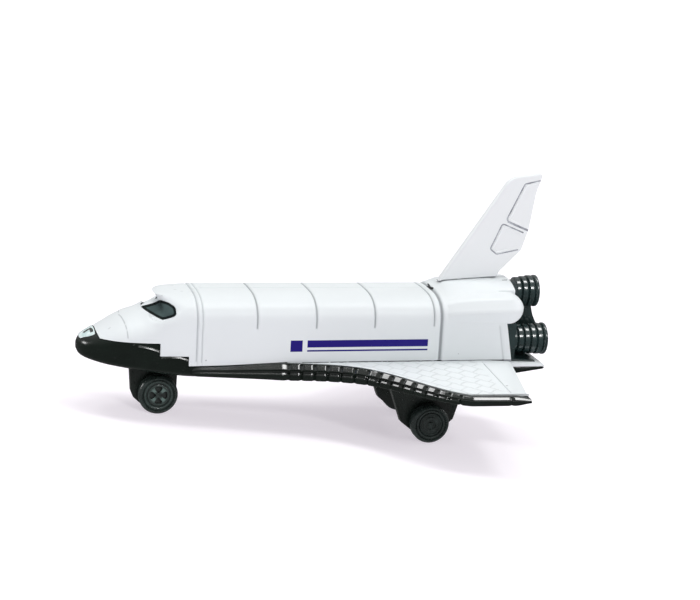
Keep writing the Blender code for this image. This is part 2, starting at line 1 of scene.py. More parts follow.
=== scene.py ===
"""Pocket-size die-cast toy space shuttle, dressed over its CAD frame and set on a pale studio floor.

Shapes are written in millimetres in the toy's own body frame: X runs aft from the nose tip, Y to starboard
and Z up from the wing roots. The stance matrix stands that frame on its wheels, in the metres of the CAD.
"""
import math

import bmesh
import bpy
import numpy as np
from mathutils import Matrix, Vector


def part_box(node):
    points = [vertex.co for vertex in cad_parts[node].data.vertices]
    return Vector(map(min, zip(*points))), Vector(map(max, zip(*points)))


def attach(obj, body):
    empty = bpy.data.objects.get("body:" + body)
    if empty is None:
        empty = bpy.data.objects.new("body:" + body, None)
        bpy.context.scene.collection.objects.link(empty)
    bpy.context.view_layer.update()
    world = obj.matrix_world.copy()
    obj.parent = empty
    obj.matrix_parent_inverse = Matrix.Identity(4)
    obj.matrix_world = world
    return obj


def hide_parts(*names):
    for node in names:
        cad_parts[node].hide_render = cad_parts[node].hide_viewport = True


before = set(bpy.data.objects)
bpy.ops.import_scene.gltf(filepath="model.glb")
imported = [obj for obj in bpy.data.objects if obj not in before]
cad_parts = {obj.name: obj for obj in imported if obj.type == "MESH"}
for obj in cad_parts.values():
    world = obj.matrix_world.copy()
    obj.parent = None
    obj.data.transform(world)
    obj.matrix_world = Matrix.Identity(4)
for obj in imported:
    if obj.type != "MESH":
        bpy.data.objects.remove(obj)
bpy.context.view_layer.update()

bl_info = {
    "name": "Toy Space Shuttle",
    "version": (1, 0, 0),
    "blender": (4, 5, 0),
    "location": "3D View > Sidebar > Toy Shuttle",
    "description": "Builds a detailed die-cast toy shuttle and its studio over the CAD frame",
    "category": "Object",
}

MM = 0.001

# Body sizes, the same as in the CAD
SEAM = 0.1
HALF_WIDTH = 8.4
BELLY_FLAT = 0.55
WING_BELLY = -2.62
AFT_END = 72.3
BULKHEAD_LEAN = 0.1875
WING_SPLIT = -1.5
WING_TOP_TIP = -1.15
TIP = 26.1
BAR_WIDTH = 1.5
BAR_FOOT = 1.9
FLAP_END = 78.7
FLAP_HALF = 7.6
FLAP_TOP = -1.1
WHEEL_RADIUS = 3.25
WHEEL_WIDTH = 2.1
AXLE_RADIUS = 0.5
FRONT_AXLE = Vector((13.95, 0.0, -6.7))
REAR_AXLE = Vector((58.5, 0.0, -10.45))
FRONT_LEG_SIDE = 0.8
REAR_LEG_SIDE = 8.0
WHEEL_GAP = 0.3
FIN_THICK = 1.7
FIN_TAPER = 0.6
FAR = 40.0

# Hull sections: x, half-width, belly, side's lower end, side's upper end, top, squareness
HULL = [
    (0.60, 0.55, 0.75, 1.10, 1.30, 1.95, 2.0),
    (0.85, 1.50, 0.25, 0.95, 1.25, 2.45, 2.1),
    (1.40, 2.60, -0.15, 0.80, 1.20, 3.00, 2.2),
    (2.40, 3.80, -0.50, 0.65, 1.35, 3.55, 2.2),
    (3.80, 5.00, -0.82, 0.45, 1.60, 4.20, 2.3),
    (5.20, 5.85, -1.08, 0.25, 1.95, 4.95, 2.3),
    (6.80, 6.60, -1.30, 0.05, 2.40, 5.85, 2.3),
    (8.40, 7.15, -1.52, -0.15, 2.80, 6.60, 2.3),
    (10.60, 7.65, -1.83, -0.35, 3.20, 7.35, 2.2),
    (11.40, 7.80, -1.95, -0.42, 3.60, 7.82, 2.15),
    (12.10, 7.88, -2.05, -0.48, 3.82, 8.26, 2.2),
    (12.80, 7.95, -2.15, -0.55, 4.05, 8.80, 2.3),
    (13.40, 8.00, -2.25, -0.60, 4.25, 9.45, 2.45),
    (13.80, 8.05, -2.32, -0.64, 4.40, 9.90, 2.55),
    (14.00, 8.07, -2.35, -0.66, 4.50, 10.08, 2.6),
    (14.60, 8.13, -2.42, -0.71, 4.70, 10.38, 2.75),
    (15.20, 8.20, -2.48, -0.75, 4.90, 10.47, 2.8),
    (18.00, 8.35, -2.78, -0.95, 5.80, 10.55, 3.0),
    (20.00, 8.40, -2.85, -1.00, 5.90, 10.60, 3.0),
    (58.40, 8.40, -2.85, -1.00, 5.90, 10.60, 3.0),
    (60.40, 8.40, -2.85, -1.00, 5.90, 10.80, 2.8),
    (62.00, 8.40, -2.85, -1.00, 5.90, 11.75, 2.4),
    (72.60, 8.40, -2.85, -1.00, 5.90, 12.45, 2.2),
]

# Seam between white and black along the side: x, height
SIDE_SEAM = [
    (3.50, FAR),
    (3.55, 4.0),
    (3.95, 3.3),
    (13.2, 3.3),
    (13.2, 1.2),
    (17.8, 1.2),
    (17.8, -0.4),
    (24.0, -0.3),
    (34.0, 0.1),
    (34.0, WING_SPLIT),
]

# Half of the pale pad on top of the nose, a thin raised sheet whose pale colour is a painted reflection of
# the lights on the glossy black cap: x, y
NOSE_REFLECTION = [
    (1.05, -0.55), (1.2, -1.3), (1.7, -1.75), (2.35, -2.3), (3.0, -2.65), (3.35, -2.75), (3.42, -2.3),
    (3.44, -0.8),
]
NOSE_REFLECTION_MIDDLE = Vector((2.3, 0.0, 0.0))
# Its rounded edge, from its rim to its middle: share of the outline, height above the skin
NOSE_REFLECTION_RISE = (
    (1.0, -0.12), (1.0, 0.03), (0.97, 0.07), (0.93, 0.085), (0.6, 0.09), (0.3, 0.09), (0.05, 0.09),
)
# The small black mark on it: x, y
NOSE_MARK = ((1.85, -0.5), (2.4, -0.2), (2.95, -0.1), (3.05, -0.9), (3.05, -1.8))
# Ridges on the black chin: their points as x and height, width, height above the skin
CHIN_RIDGES = (
    (((9.8, 2.76), (10.6, 2.68), (11.6, 2.46), (12.4, 2.24), (13.05, 2.0)), 0.5, 0.3),
    (((13.4, 1.0), (14.8, 1.08), (16.4, 1.02), (17.75, 0.6)), 0.4, 0.24),
)
CHIN_KNOB = (9.05, 2.95)

# Sections of a strip: share across, share of its height. The chin's ridges have a flat shoulder
HALF_ROUND = [(math.cos(math.pi * k / 6), math.sin(math.pi * k / 6)) for k in range(7)]
SHOULDER = [(1.0, 0.0), (0.78, 0.5), (0.45, 0.86), (0.2, 1.0), (0.02, 0.98), (-0.85, 0.12), (-1.0, 0.0)]
FOOT_DEPTH = 0.15        # how deep a strip's foot goes into the surface
KNOB_SIDES = 14
# A boss from its foot to its top: share of its radius, share of its height
KNOB_RISE = ((1.0, -0.15), (1.0, 0.0), (0.94, 0.4), (0.75, 0.75), (0.45, 0.95), (0.12, 1.0))

# Small marks in the casting, drawn only as spots of painted shade. Side: x, height, radius, depth of tone.
# Roof: x, y, radius
SIDE_MARKS = ((20.6, 0.6, 0.16, 0.9), (63.0, 1.2, 0.14, 0.5))
ROOF_MARKS = ((16.46, 2.29, 0.2), (16.47, -0.78, 0.22), (17.36, -2.02, 0.22), (5.6, -3.39, 0.2))
# Printed stripes on the side: from x, to x, from height, to height
STRIPES = ((37.2, 57.6, 2.55, 3.75), (37.2, 57.6, 1.85, 2.12), (34.4, 36.4, 1.85, 3.75))
NOSE_GROOVE = 7.5        # the broken groove around the nose
# Swelling below the windows, as x and height
LEDGE_X = (12.5, 13.5, 14.6, 16.0)
LEDGE_Z = (6.51, 6.36, 6.58, 7.02)

# Leading-edge bar: x, distance of its outer side from centre, top, bottom
BAR = [
    (18.3, 8.9, -0.45, -2.00),
    (24.0, 9.2, -0.35, -2.25),
    (30.0, 9.6, -0.10, -2.50),
    (34.0, 10.0, 0.05, -2.67),
    (38.5, 10.6, 0.00, -2.67),
    (42.5, 11.6, -0.05, -2.67),
    (45.6, 13.0, -0.15, -2.67),
    (58.2, 25.0, -1.05, -2.67),
    (60.4, 25.9, -1.15, -2.67),
    (69.3, 26.1, -1.25, -2.67),
]
BAR_RIBBED = (3, 7)      # the rows between which it is ribbed
BAR_RIBS = 14
BAR_TIP_CUT = 66.6       # the groove before its pointed end
BAR_TAPER = (67.2, 70.0)
# Its outer face above its rounded foot, where it is BAR_HEIGHT high: depth in from its side, below its top
BAR_HEIGHT = 2.57
BAR_FACE = [
    (0.0, 2.02), (0.0, 1.62), (0.01, 1.56), (0.05, 1.498), (0.08, 1.4725), (0.35, 1.2435), (0.38, 1.218),
    (0.42, 1.15), (0.42, 0.98), (0.26, 0.87), (0.22, 0.82), (0.23, 0.77), (0.28, 0.71), (0.34, 0.6597),
    (0.84, 0.2403), (0.9, 0.19), (0.97, 0.14),
]
BAR_LEDGE = 0.9          # its face steps in above this, but runs straight up at the tip

# Dark strips of painted shade along the wing root's seam, broken where paint fills it: from x, to x, width
ROOT_SEAM = [
    (36.5, 40.9, 0.1), (41.2, 43.9, 0.2), (44.3, 49.8, 0.14), (50.1, 50.7, 0.3), (51.0, 56.4, 0.16),
    (56.7, 58.4, 0.22), (58.9, 60.4, 0.3), (60.7, 64.6, 0.18), (65.2, 66.0, 0.3), (66.3, 68.6, 0.12),
    (68.9, 72.1, 0.26),
]
# Spots of painted shade in it: x, depth of tone
ROOT_SPOTS = ((38.9, 0.5), (43.0, 0.7), (47.2, 0.5), (50.9, 0.5), (54.4, 0.5), (56.4, 0.7), (65.0, 0.8))
# Front edge of a white wing panel, from its foot to its top: distance back, distance down
WING_FRONT = ((0.0, 0.3), (0.04, 0.14), (0.12, 0.04), (0.26, 0.0))
# Points across the elevon's hinge line
HINGE_GROOVE = (-0.45, -0.25, -0.15, -0.07, 0.0, 0.07, 0.15, 0.25, 0.45)
# Trailing edge: distance from the centre, x
TRAIL_ROOT = (8.4, 72.3)
TRAIL_TIP = (26.1, 69.4)
PANEL_TOP_ROOT = 7.0     # how near the centre the panels start, inside the fuselage

# Rear pods: their outline in section where they start on the shoulder, and where they are full: y, height
POD_START = [(3.6, 10.58), (6.0, 9.96), (7.36, 9.04), (8.05, 8.0), (8.25, 7.35), (8.38, 6.7)]
POD_FULL = [(3.6, 10.95), (5.8, 11.0), (7.6, 10.35), (8.75, 8.75), (8.9, 8.2), (8.42, 6.15)]
POD_INSIDE = [(5.2, 5.9), (3.6, 8.0)]
POD_MIDDLE = (5.3, 8.3)
# How far a pod has grown from its start to full: x, share
POD_GROWTH = [(60.45, 0.0), (61.4, 0.35), (64.0, 0.7), (67.0, 0.9), (71.0, 1.0)]
POD_ROUND = 71.6         # its end rounds off from here
POD_END = 74.85
DECK = (69.4, 73.3, 5.3)     # from x, to x, half-width
# Dark slots in the deck, laid as strips of painted shade: points as x and y, width, height
DECK_SLOTS = (
    (((60.7, 3.1), (60.4, 2.4), (60.15, 1.6), (60.05, 0.8), (59.9, 0.2)), 0.26, 0.05),
    (((59.7, 0.1), (59.75, -0.6), (60.2, -1.5)), 0.6, 0.05),
    (((71.9, -2.2), (72.3, -2.2), (72.8, -2.2)), 0.16, 0.02),
)

# Tail fin outline: x, height, corner radius
FIN = [
    (61.1, 11.58, 0.0),
    (72.7, 29.4, 3.4),
    (78.6, 30.35, 0.5),
    (77.5, 26.9, 0.0),
    (76.6, 20.6, 0.0),
    (75.5, 17.1, 0.5),
    (71.9, 13.5, 0.4),
    (71.4, 12.48, 0.0),
    (62.0, 11.86, 0.0),
]
# Panels moulded on the fin: x, height
FIN_PANELS = [
    [(78.0, 29.0), (75.3, 28.4), (72.4, 22.2), (76.4, 20.5)],
    [(75.6, 20.1), (71.8, 21.65), (69.9, 17.3), (71.1, 16.4), (74.9, 17.2)],
]
# The broad grey line between the panels is painted shade.
FIN_CUT = ((72.7, 22.0), (74.0, 21.45), (76.4, 20.5))     # the broad line between them

# Cabin window outline, port: x, y, height. The starboard one mirrors it
WINDOW = [
    (11.10, -0.48, 7.60),
    (12.15, -1.26, 8.07),
    (13.12, -1.69, 8.50),
    (13.83, -1.94, 8.99),
    (14.68, -5.72, 9.46),
    (15.56, -6.82, 9.00),
    (15.63, -7.63, 8.07),
    (15.23, -7.74, 7.73),
    (13.69, -6.73, 6.99),
    (12.93, -5.83, 7.20),
    (11.62, -3.21, 7.55),
]
WINDOW_CUT = Vector((-0.154, -0.959, 0.239))     # the direction out of the port window's opening
WINDOW_REACH = (-3.5, 2.5)     # how far its block goes in and out

# Engine nozzles: name, y, height, x of the face that it stands on, length, number of ribs
NOZZLES = [
    ("top", 0.0, 9.9, 74.05, 4.6, 3),
    ("port", -3.3, 2.35, 72.9, 6.65, 5),
    ("starboard", 3.3, 2.35, 72.9, 6.65, 5),
]
RIB_PITCH = 1.12
LIP_LENGTH = 0.62        # from a nozzle's last rib to its end
# Its lip, and the end of its inner cone: distance ahead of the rear end, radius
NOZZLE_LIP = ((0.55, 2.62), (0.4, 2.7), (0.12, 2.7), (0.03, 2.66), (0.0, 2.56), (0.02, 2.44), (0.12, 2.34))
NOZZLE_THROAT = ((3.4, 1.1), (3.4, 0.6), (3.25, 0.45), (3.25, 0.0))
# The web between the nozzles: x, height
ENGINE_WEB = [
    (73.6, 7.85), (78.15, 7.85), (78.2, 7.3), (78.35, 6.6), (78.65, 5.6), (79.1, 4.7), (79.4, 4.2),
    (73.6, 4.2),
]

# Moulded dots on the legs, and the rim along the front edge of the rear ones: x, height
FRONT_LEG_DOTS = ((9.9, -3.4), (10.2, -5.2), (12.2, -2.9), (14.8, -2.95), (16.6, -3.5))
REAR_LEG_DOTS = ((55.6, -4.4), (57.6, -5.6), (60.4, -4.2), (62.6, -5.4), (62.9, -8.2), (55.4, -7.2))
REAR_LEG_RIM = ((51.6, -3.3), (52.6, -6.4), (53.9, -10.0))
REAR_LEG_INSIDE = 6.4

# Wheel profiles from the middle of the outer face to the rim: distance along the axle, radius
SPOKED_HUB = [(-0.12, 0), (-0.12, 0.3), (-0.1, 1.6), (-0.16, 1.74), (-0.32, 1.8), (-0.34, 1.95), (-0.2, 2.04)]
RINGED_HUB = [
    (0.02, 0), (0.02, 0.3), (-0.06, 0.45), (-0.22, 0.5), (-0.24, 0.8), (-0.1, 0.88), (-0.08, 1.2),
    (-0.2, 1.3), (-0.24, 1.6), (-0.12, 1.7), (-0.12, 1.85), (-0.3, 1.95), (-0.2, 2.05),
]
TYRE = [
    (-0.06, 2.12), (-0.02, 2.25), (-0.06, 2.4), (-0.2, 2.46), (-0.24, 2.55), (-0.12, 2.64), (0.0, 2.72),
    (0.0, 2.82), (-0.04, 2.9), (-0.3, 3.12), (-0.4, 3.19),
]
AXLE_FIT = 0.05          # how much wider a wheel's bore is than its axle
BORE_DEPTH = 1.4
# Half of a pocket between two spokes: radius, angle
POCKET = ((0.42, 14), (0.95, 31), (1.35, 31), (1.52, 17))

# Grooves cast around the fuselage: x, lowest height, width, share of the groove depth, share of the painted
# shade in it
GROOVES = [
    (19.05, 0.40, 0.14, 1.0, 0.51),
    (19.90, 0.20, 0.12, 0.6, 0.414),
    (28.80, 5.70, 0.16, 1.0, 0.85),
    (38.60, 5.70, 0.16, 1.0, 0.85),
    (48.40, 5.70, 0.16, 1.0, 0.85),
    (58.50, 5.90, 0.15, 0.9, 0.81),
    (59.80, 0.20, 0.27, 1.6, 1.0),
]
CABIN_BAND = 19.45       # a raised band between the first two
AFT_STEP = 60.0          # the skin lies a little further out aft of this
# Stations along the fuselage: from x, to x, step. Those at the grooves are added to them
STATION_RUNS = (
    (3.3, 19.0, 0.35), (20.5, 59.0, 2.4), (60.6, 69.4, 0.7), (69.4, 72.7, 0.11), (13.7, 14.7, 0.06),
)
CREST = (19.5, 58.2)     # the seam along the top of the roof, from x to x
# Height of the windscreen's post, from x to x
CREST_X = (11.0, 11.4, 12.39, 12.87, 13.9, 16.5)
CREST_Z = (7.70, 7.85, 8.41, 8.70, 8.88, 8.95)
POST = 0.35              # how far the post up its middle stands out of it
FALL = 0.3               # how steeply it falls from there to both sides
BROW_LEAN = 1.1          # how far the brow leans out over it
LIP = 1.25               # width of the raised lip before the bulkhead
HINGE = 67.0             # elevon hinge line

# Lights: name, direction to the light, strength, how many degrees wide it looks from the toy
LIGHTS = [
    ("overhead_light", (0.235, -0.04, 0.97), 0.85, 17),
    ("high_middle_light", (-0.09, 0.11, 0.92), 0.4, 16),
    ("high_left_light", (-0.41, 0.27, 0.87), 0.45, 15),
    ("left_light", (-0.93, 0.25, 0.24), 0.42, 12),
    ("right_light", (0.83, 0.22, 0.5), 0.42, 14),
    ("front_light", (0.235, -0.8, 0.55), 0.85, 9),
]

# Camera, in the body frame: it looks at AIM, which lies at AIM_PIXEL in a picture of this size
AIM = Vector((40.0, 0.0, 5.0))
AIM_PIXEL = (313.0, 320.0)
VIEW_AZIMUTH = -14.0
VIEW_ELEVATION = 14.0
VIEW_ROLL = 3.0
VIEW_DISTANCE = 300.0
FOCAL_PIXELS = 1800.0
PICTURE = (700, 600)
SENSOR = 36.0

FLOOR_REACH = 15000.0
SIDES = ((-1, "port"), (1, "starboard"))


def colour_setting(name, description, default, most=1):
    """A colour that a user can set."""
    return bpy.props.FloatVectorProperty(
        name=name, description=description, subtype="COLOR", size=3, min=0, max=most, default=default)


def depth_setting(name, description, default, most):
    """A small depth that a user can set, in metres."""
    return bpy.props.FloatProperty(
        name=name, description=description, unit="LENGTH", precision=5, min=0, max=most, default=default)


def strength_setting(name, description, default, most):
    """A strength or share that a user can set."""
    return bpy.props.FloatProperty(
        name=name, description=description, subtype="FACTOR", min=0, max=most, default=default)


class ShuttlePaint(bpy.types.PropertyGroup):
    """Colours of the toy"""
    enamel: colour_setting("White enamel", "Colour of the casting and the fin", (0.79, 0.83, 0.845))
    plastic: colour_setting("Black plastic", "Colour of the base and its mouldings", (0.0042, 0.0075, 0.0055))
    legs: colour_setting("Leg plastic", "Colour of the gear legs", (0.01, 0.0155, 0.0125))
    engines: colour_setting("Engine plastic", "Colour of the nozzles and their mount", (0.014, 0.027, 0.027))
    wheels: colour_setting("Wheels", "Colour of the wheels", (0.019, 0.029, 0.026))
    glazing: colour_setting("Glazing", "Colour of the cabin windows", (0.06, 0.088, 0.088))
    stripe: colour_setting("Side stripes", "Colour of the printed stripes", (0.012, 0.004, 0.2))
    steel: colour_setting("Axle steel", "Colour of the axle wires", (0.6, 0.61, 0.62))


class ShuttleRelief(bpy.types.PropertyGroup):
    """Depths of the cast and moulded detail"""
    groove_depth: depth_setting("Groove depth", "Depth of the grooves around the fuselage", 0.0002, 0.0004)
    groove_shade: strength_setting("Groove shade", "How much darker the paint is in a groove", 0.62, 1)
    rib_depth: depth_setting("Rib depth", "Depth between the ribs of the leading-edge bars", 0.00042, 0.0006)
    tile_depth: depth_setting("Tile depth", "Depth of the joints between the wing tiles", 0.00008, 0.0003)
    fin_line: depth_setting("Fin line height", "How far the fin's panel lines stand out", 0.0001, 0.0003)


class ShuttleStudio(bpy.types.PropertyGroup):
    """Floor and lights"""
    floor: colour_setting("Floor", "Colour of the floor", (0.58, 0.575, 0.585))
    glow: colour_setting("Floor glow", "Light that comes up through the floor", (0.55, 0.515, 0.56), 2)
    lights: strength_setting("Lights", "Strength of all the lights together", 1.0, 4)
    zenith: strength_setting("Surround above", "Strength of the surround overhead", 0.42, 4)
    behind: strength_setting("Surround behind", "Strength of the pale surround behind the toy", 0.36, 4)
    horizon: strength_setting("Surround in front", "Strength of the dark surround before the toy", 0.14, 4)


def between(table):
    """A run through a table whose first column is x: smooth, and never past the values of its rows."""
    rows = np.array(table, float)
    xs = rows[:, 0]
    values = rows[:, 1:]
    step = np.diff(xs)
    slope = np.diff(values, axis=0) / step[:, None]
    lean = np.zeros_like(values)
    lean[0] = slope[0]
    lean[-1] = slope[-1]
    total = slope[:-1] + slope[1:]
    same = slope[:-1] * slope[1:] > 0
    lean[1:-1] = np.where(same, 2 * slope[:-1] * slope[1:] / np.where(same, total, 1.0), 0.0)

    def at(x):
        i = int(np.clip(np.searchsorted(xs, x) - 1, 0, len(xs) - 2))
        u = min(max((x - xs[i]) / step[i], 0.0), 1.0)
        near = (2 * u ** 3 - 3 * u ** 2 + 1) * values[i] + (u ** 3 - 2 * u ** 2 + u) * step[i] * lean[i]
        far = (3 * u ** 2 - 2 * u ** 3) * values[i + 1] + (u ** 3 - u ** 2) * step[i] * lean[i + 1]
        return near + far

    return at


hull_at = between(HULL)
pod_growth = between(POD_GROWTH)


def ridge(distance, width):
    """A rounded hump across a line: 1 on it, fading to 0 over its width."""
    return np.exp(-(distance / width) ** 2)


def rise(value, start, end):
    """A smooth step from 0 at the start to 1 at the end."""
    u = np.clip((value - start) / (end - start), 0, 1)
    return u * u * (3 - 2 * u)


def bulkhead_x(z):
    """Where the leaning rear bulkhead is at a height."""
    return AFT_END - BULKHEAD_LEAN * z


def wing_top(y):
    """Height of the wing's top face at a distance from the centre."""
    return WING_TOP_TIP * max(0.0, (y - HALF_WIDTH) / (TIP - HALF_WIDTH))


def trail_x(y):
    """Where the trailing edge is at a distance from the centre."""
    share = (y - TRAIL_ROOT[0]) / (TRAIL_TIP[0] - TRAIL_ROOT[0])
    return TRAIL_ROOT[1] + (TRAIL_TIP[1] - TRAIL_ROOT[1]) * share


def roof_z(x, y):
    """Height of the fuselage's roof."""
    half, _, _, high, top, power = hull_at(x)
    across = min(abs(y) / half, 1.0) ** (power / 2)
    return high + (top - high) * math.sqrt(1 - across * across) ** (2 / power)


def side_y(x, z):
    """Half the width of the fuselage at a height."""
    half, belly, low, high, top, power = hull_at(x)
    if z >= high:
        up = min((z - high) / (top - high), 1.0) ** (power / 2)
        return half * math.sqrt(1 - up * up) ** (2 / power)
    if z >= low:
        return half
    down = min((low - z) / (low - belly), 1.0)
    return half * (BELLY_FLAT + (1 - BELLY_FLAT) * math.sqrt(1 - down * down))


def on_side(x, z, side):
    """A point of the fuselage's side and the direction out of it."""
    e = 0.05
    point = Vector((x, side * side_y(x, z), z))
    ahead = Vector((x + e, side * side_y(x + e, z), z)) - point
    above = Vector((x, side * side_y(x, z - e), z - e)) - point
    facing = ahead.cross(above).normalized()
    return point, facing if facing.y * side > 0 else -facing


def on_roof(x, y):
    """A point of the fuselage's roof and the direction out of it."""
    e = 0.05
    point = Vector((x, y, roof_z(x, y)))
    ahead = Vector((x + e, y, roof_z(x + e, y))) - point
    beside = Vector((x, y + e, roof_z(x, y + e))) - point
    facing = ahead.cross(beside).normalized()
    return point, facing if facing.z > 0 else -facing


class Form:
    """A mesh in the making, with its corners in millimetres."""

    def __init__(self):
        self.corners = []
        self.faces = []

    def rings(self, rings, ends=True):
        """Skins a run of rings with the same number of points, with a face over each end."""
        base = len(self.corners)
        count = len(rings[0])
        for ring in rings:
            self.corners.extend(tuple(float(c) for c in point) for point in ring)
        for row in range(len(rings) - 1):
            start = base + row * count
            for i in range(count):
                j = (i + 1) % count
                self.faces.append((start + i, start + j, start + count + j, start + count + i))
        if ends:
            last = base + (len(rings) - 1) * count
            self.faces.append(tuple(range(base, base + count))[::-1])
            self.faces.append(tuple(range(last, last + count)))
        return self

    def turned(self, profile, segments):
        """Turns a profile of distance along X and radius. Its first and last points lie on the axis."""
        rings = []
        for along, radius in profile[1:-1]:
            angles = [math.tau * i / segments for i in range(segments)]
            rings.append([(along, radius * math.cos(a), radius * math.sin(a)) for a in angles])
        base = len(self.corners)
        self.rings(rings, ends=False)
        last = base + (len(rings) - 1) * segments
        for (along, _), start in ((profile[0], base), (profile[-1], last)):
            middle = len(self.corners)
            self.corners.append((along, 0.0, 0.0))
            for i in range(segments):
                self.faces.append((middle, start + i, start + (i + 1) % segments))
        return self

    def prism(self, outline, low, high):
        """Carries an outline of x and height from one y to another."""
        return self.rings([[(x, y, z) for x, z in outline] for y in (low, high)])

    def bead(self, line, width, height, section=HALF_ROUND):
        """Lays a strip of a given section along a line of points and directions out of the surface."""
        rings = []
        for i, (point, facing) in enumerate(line):
            ahead = line[min(i + 1, len(line) - 1)][0]
            behind = line[max(i - 1, 0)][0]
            across = (ahead - behind).cross(facing).normalized() * width / 2
            foot = facing * FOOT_DEPTH
            ring = [point + across * side + facing * height * up for side, up in section]
            rings.append([point + across - foot, *ring, point - across - foot])
        return self.rings(rings)

    def knob(self, point, facing, radius, height):
        """Lays a small round boss on a surface."""
        across = facing.orthogonal().normalized()
        beside = facing.cross(across)
        angles = [math.tau * i / KNOB_SIDES for i in range(KNOB_SIDES)]
        around = [across * math.cos(a) + beside * math.sin(a) for a in angles]
        rings = []
        for share, up in KNOB_RISE:
            rings.append([point + out * radius * share + facing * (height * up) for out in around])
        return self.rings(rings)


def raw_object(name, form):
    """Turns a form into an object in metres, in the body frame."""
    mesh = bpy.data.meshes.new(name)
    mesh.from_pydata([tuple(c * MM for c in corner) for corner in form.corners], [], form.faces)
    bm = bmesh.new()
    bm.from_mesh(mesh)
    bmesh.ops.remove_doubles(bm, verts=bm.verts, dist=1e-7)
    bmesh.ops.recalc_face_normals(bm, faces=bm.faces)
    bm.to_mesh(mesh)
    bm.free()
    made = bpy.data.objects.new(name, mesh)
    bpy.context.scene.collection.objects.link(made)
    return made


def settle(target):
    """Puts the evaluated mesh in place of the base mesh."""
    bpy.context.view_layer.update()
    graph = bpy.context.evaluated_depsgraph_get()
    mesh = bpy.data.meshes.new_from_object(target.evaluated_get(graph))
    target.modifiers.clear()
    target.data = mesh
    return target


def boolean(target, other, operation):
    """Cuts or joins another object into the target and takes the other away."""
    step = target.modifiers.new(operation.lower(), "BOOLEAN")
    step.operation = operation
    step.solver = "EXACT"
    step.object = other
    settle(target)
    bpy.data.objects.remove(other)
    if not target.data.polygons:
        raise RuntimeError(f"nothing is left of {target.name}")
    return target


def round_edges(target, width, steps=3, angle=40):
    """Takes the sharp edges off."""
    edge = target.modifiers.new("edge", "BEVEL")
    edge.width = width * MM
    edge.segments = steps
    edge.limit_method = "ANGLE"
    edge.angle_limit = math.radians(angle)
    return target


def stance():
    """The matrix from the body frame to the CAD's, from where the two axles lie."""
    front, rear = [(low + high) / 2 for low, high in (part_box("front_axle"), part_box("rear_axle"))]
    body = REAR_AXLE - FRONT_AXLE
    row = rear - front
    turn = math.atan2(body.z, body.x) - math.atan2(row.z, row.x)
    matrix = Matrix.Rotation(turn, 4, "Y")
    shift = front - matrix @ (FRONT_AXLE * MM)
    return Matrix.Translation(shift) @ matrix


STANCE = stance()


def dress(target, finish, body="shuttle", replaces=(), place=None, sharp=38):
    """Finishes a piece: smooth shading, its material, its place on the stance and the body it rides on."""
    target.data.materials.clear()
    target.data.materials.append(finish)
    target.data.shade_smooth()
    target.data.set_sharp_from_angle(angle=math.radians(sharp))
    target.matrix_world = STANCE @ (place or Matrix.Identity(4))
    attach(target, body)
    if replaces:
        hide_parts(*replaces)
    return target


def arithmetic(kind, reflected=False):
    """A method that puts a wire and another value through one Math node."""
    def method(self, other):
        values = (other, self) if reflected else (self, other)
        return self.finish.maths(kind, *values)
    return method


class Wire:
    """A socket of a shader that adds and multiplies as a number does."""

    def __init__(self, finish, socket):
        self.finish = finish
        self.socket = socket

    __add__, __radd__ = arithmetic("ADD"), arithmetic("ADD", True)
    __sub__, __rsub__ = arithmetic("SUBTRACT"), arithmetic("SUBTRACT", True)
    __mul__, __rmul__ = arithmetic("MULTIPLY"), arithmetic("MULTIPLY", True)
    __truediv__, __rtruediv__ = arithmetic("DIVIDE"), arithmetic("DIVIDE", True)
    least = arithmetic("MINIMUM")
    most = arithmetic("MAXIMUM")

    def __neg__(self):
        return self * -1.0

    def __abs__(self):
        return self.finish.maths("ABSOLUTE", self)

    def rise(self, start, end):
        """A smooth step from 0 at the start to 1 at the end."""
        return self.finish.node(
            "ShaderNodeMapRange", {"interpolation_type": "SMOOTHSTEP"},
            {"Value": self, "From Min": start, "From Max": end})

    def band(self, low, high, soft):
        """1 between two values, with soft ends."""
        return self.rise(low - soft, low + soft) * (1 - self.rise(high - soft, high + soft))

    def line(self, at, half, soft):
        """1 on a line across which this value changes."""
        return 1 - abs(self - at).rise(half, half + soft)


class Shader:
    """A tree of shader nodes."""

    def __init__(self, tree):
        self.tree = tree

    def node(self, kind, settings, sockets, output=0):
        """Adds a node: its type, its settings, the values or wires of its sockets, and the output to use."""
        made = self.tree.nodes.new(kind)
        for name, value in settings.items():
            setattr(made, name, value)
        for name, value in sockets.items():
            self.plug(made.inputs[name], value)
        return Wire(self, made.outputs[output])

    def plug(self, socket, value):
        """Gives a socket its value or its wire."""
        if isinstance(value, Wire):
            self.tree.links.new(value.socket, socket)
        else:
            socket.default_value = value

    def maths(self, operation, *values):
        """One Math node on wires and numbers."""
        return self.node("ShaderNodeMath", {"operation": operation}, dict(enumerate(values)))

    def split(self, vector):
        """The three values of a vector."""
        parts = self.node("ShaderNodeSeparateXYZ", {}, {0: vector}).socket.node
        return [Wire(self, parts.outputs[i]) for i in range(3)]


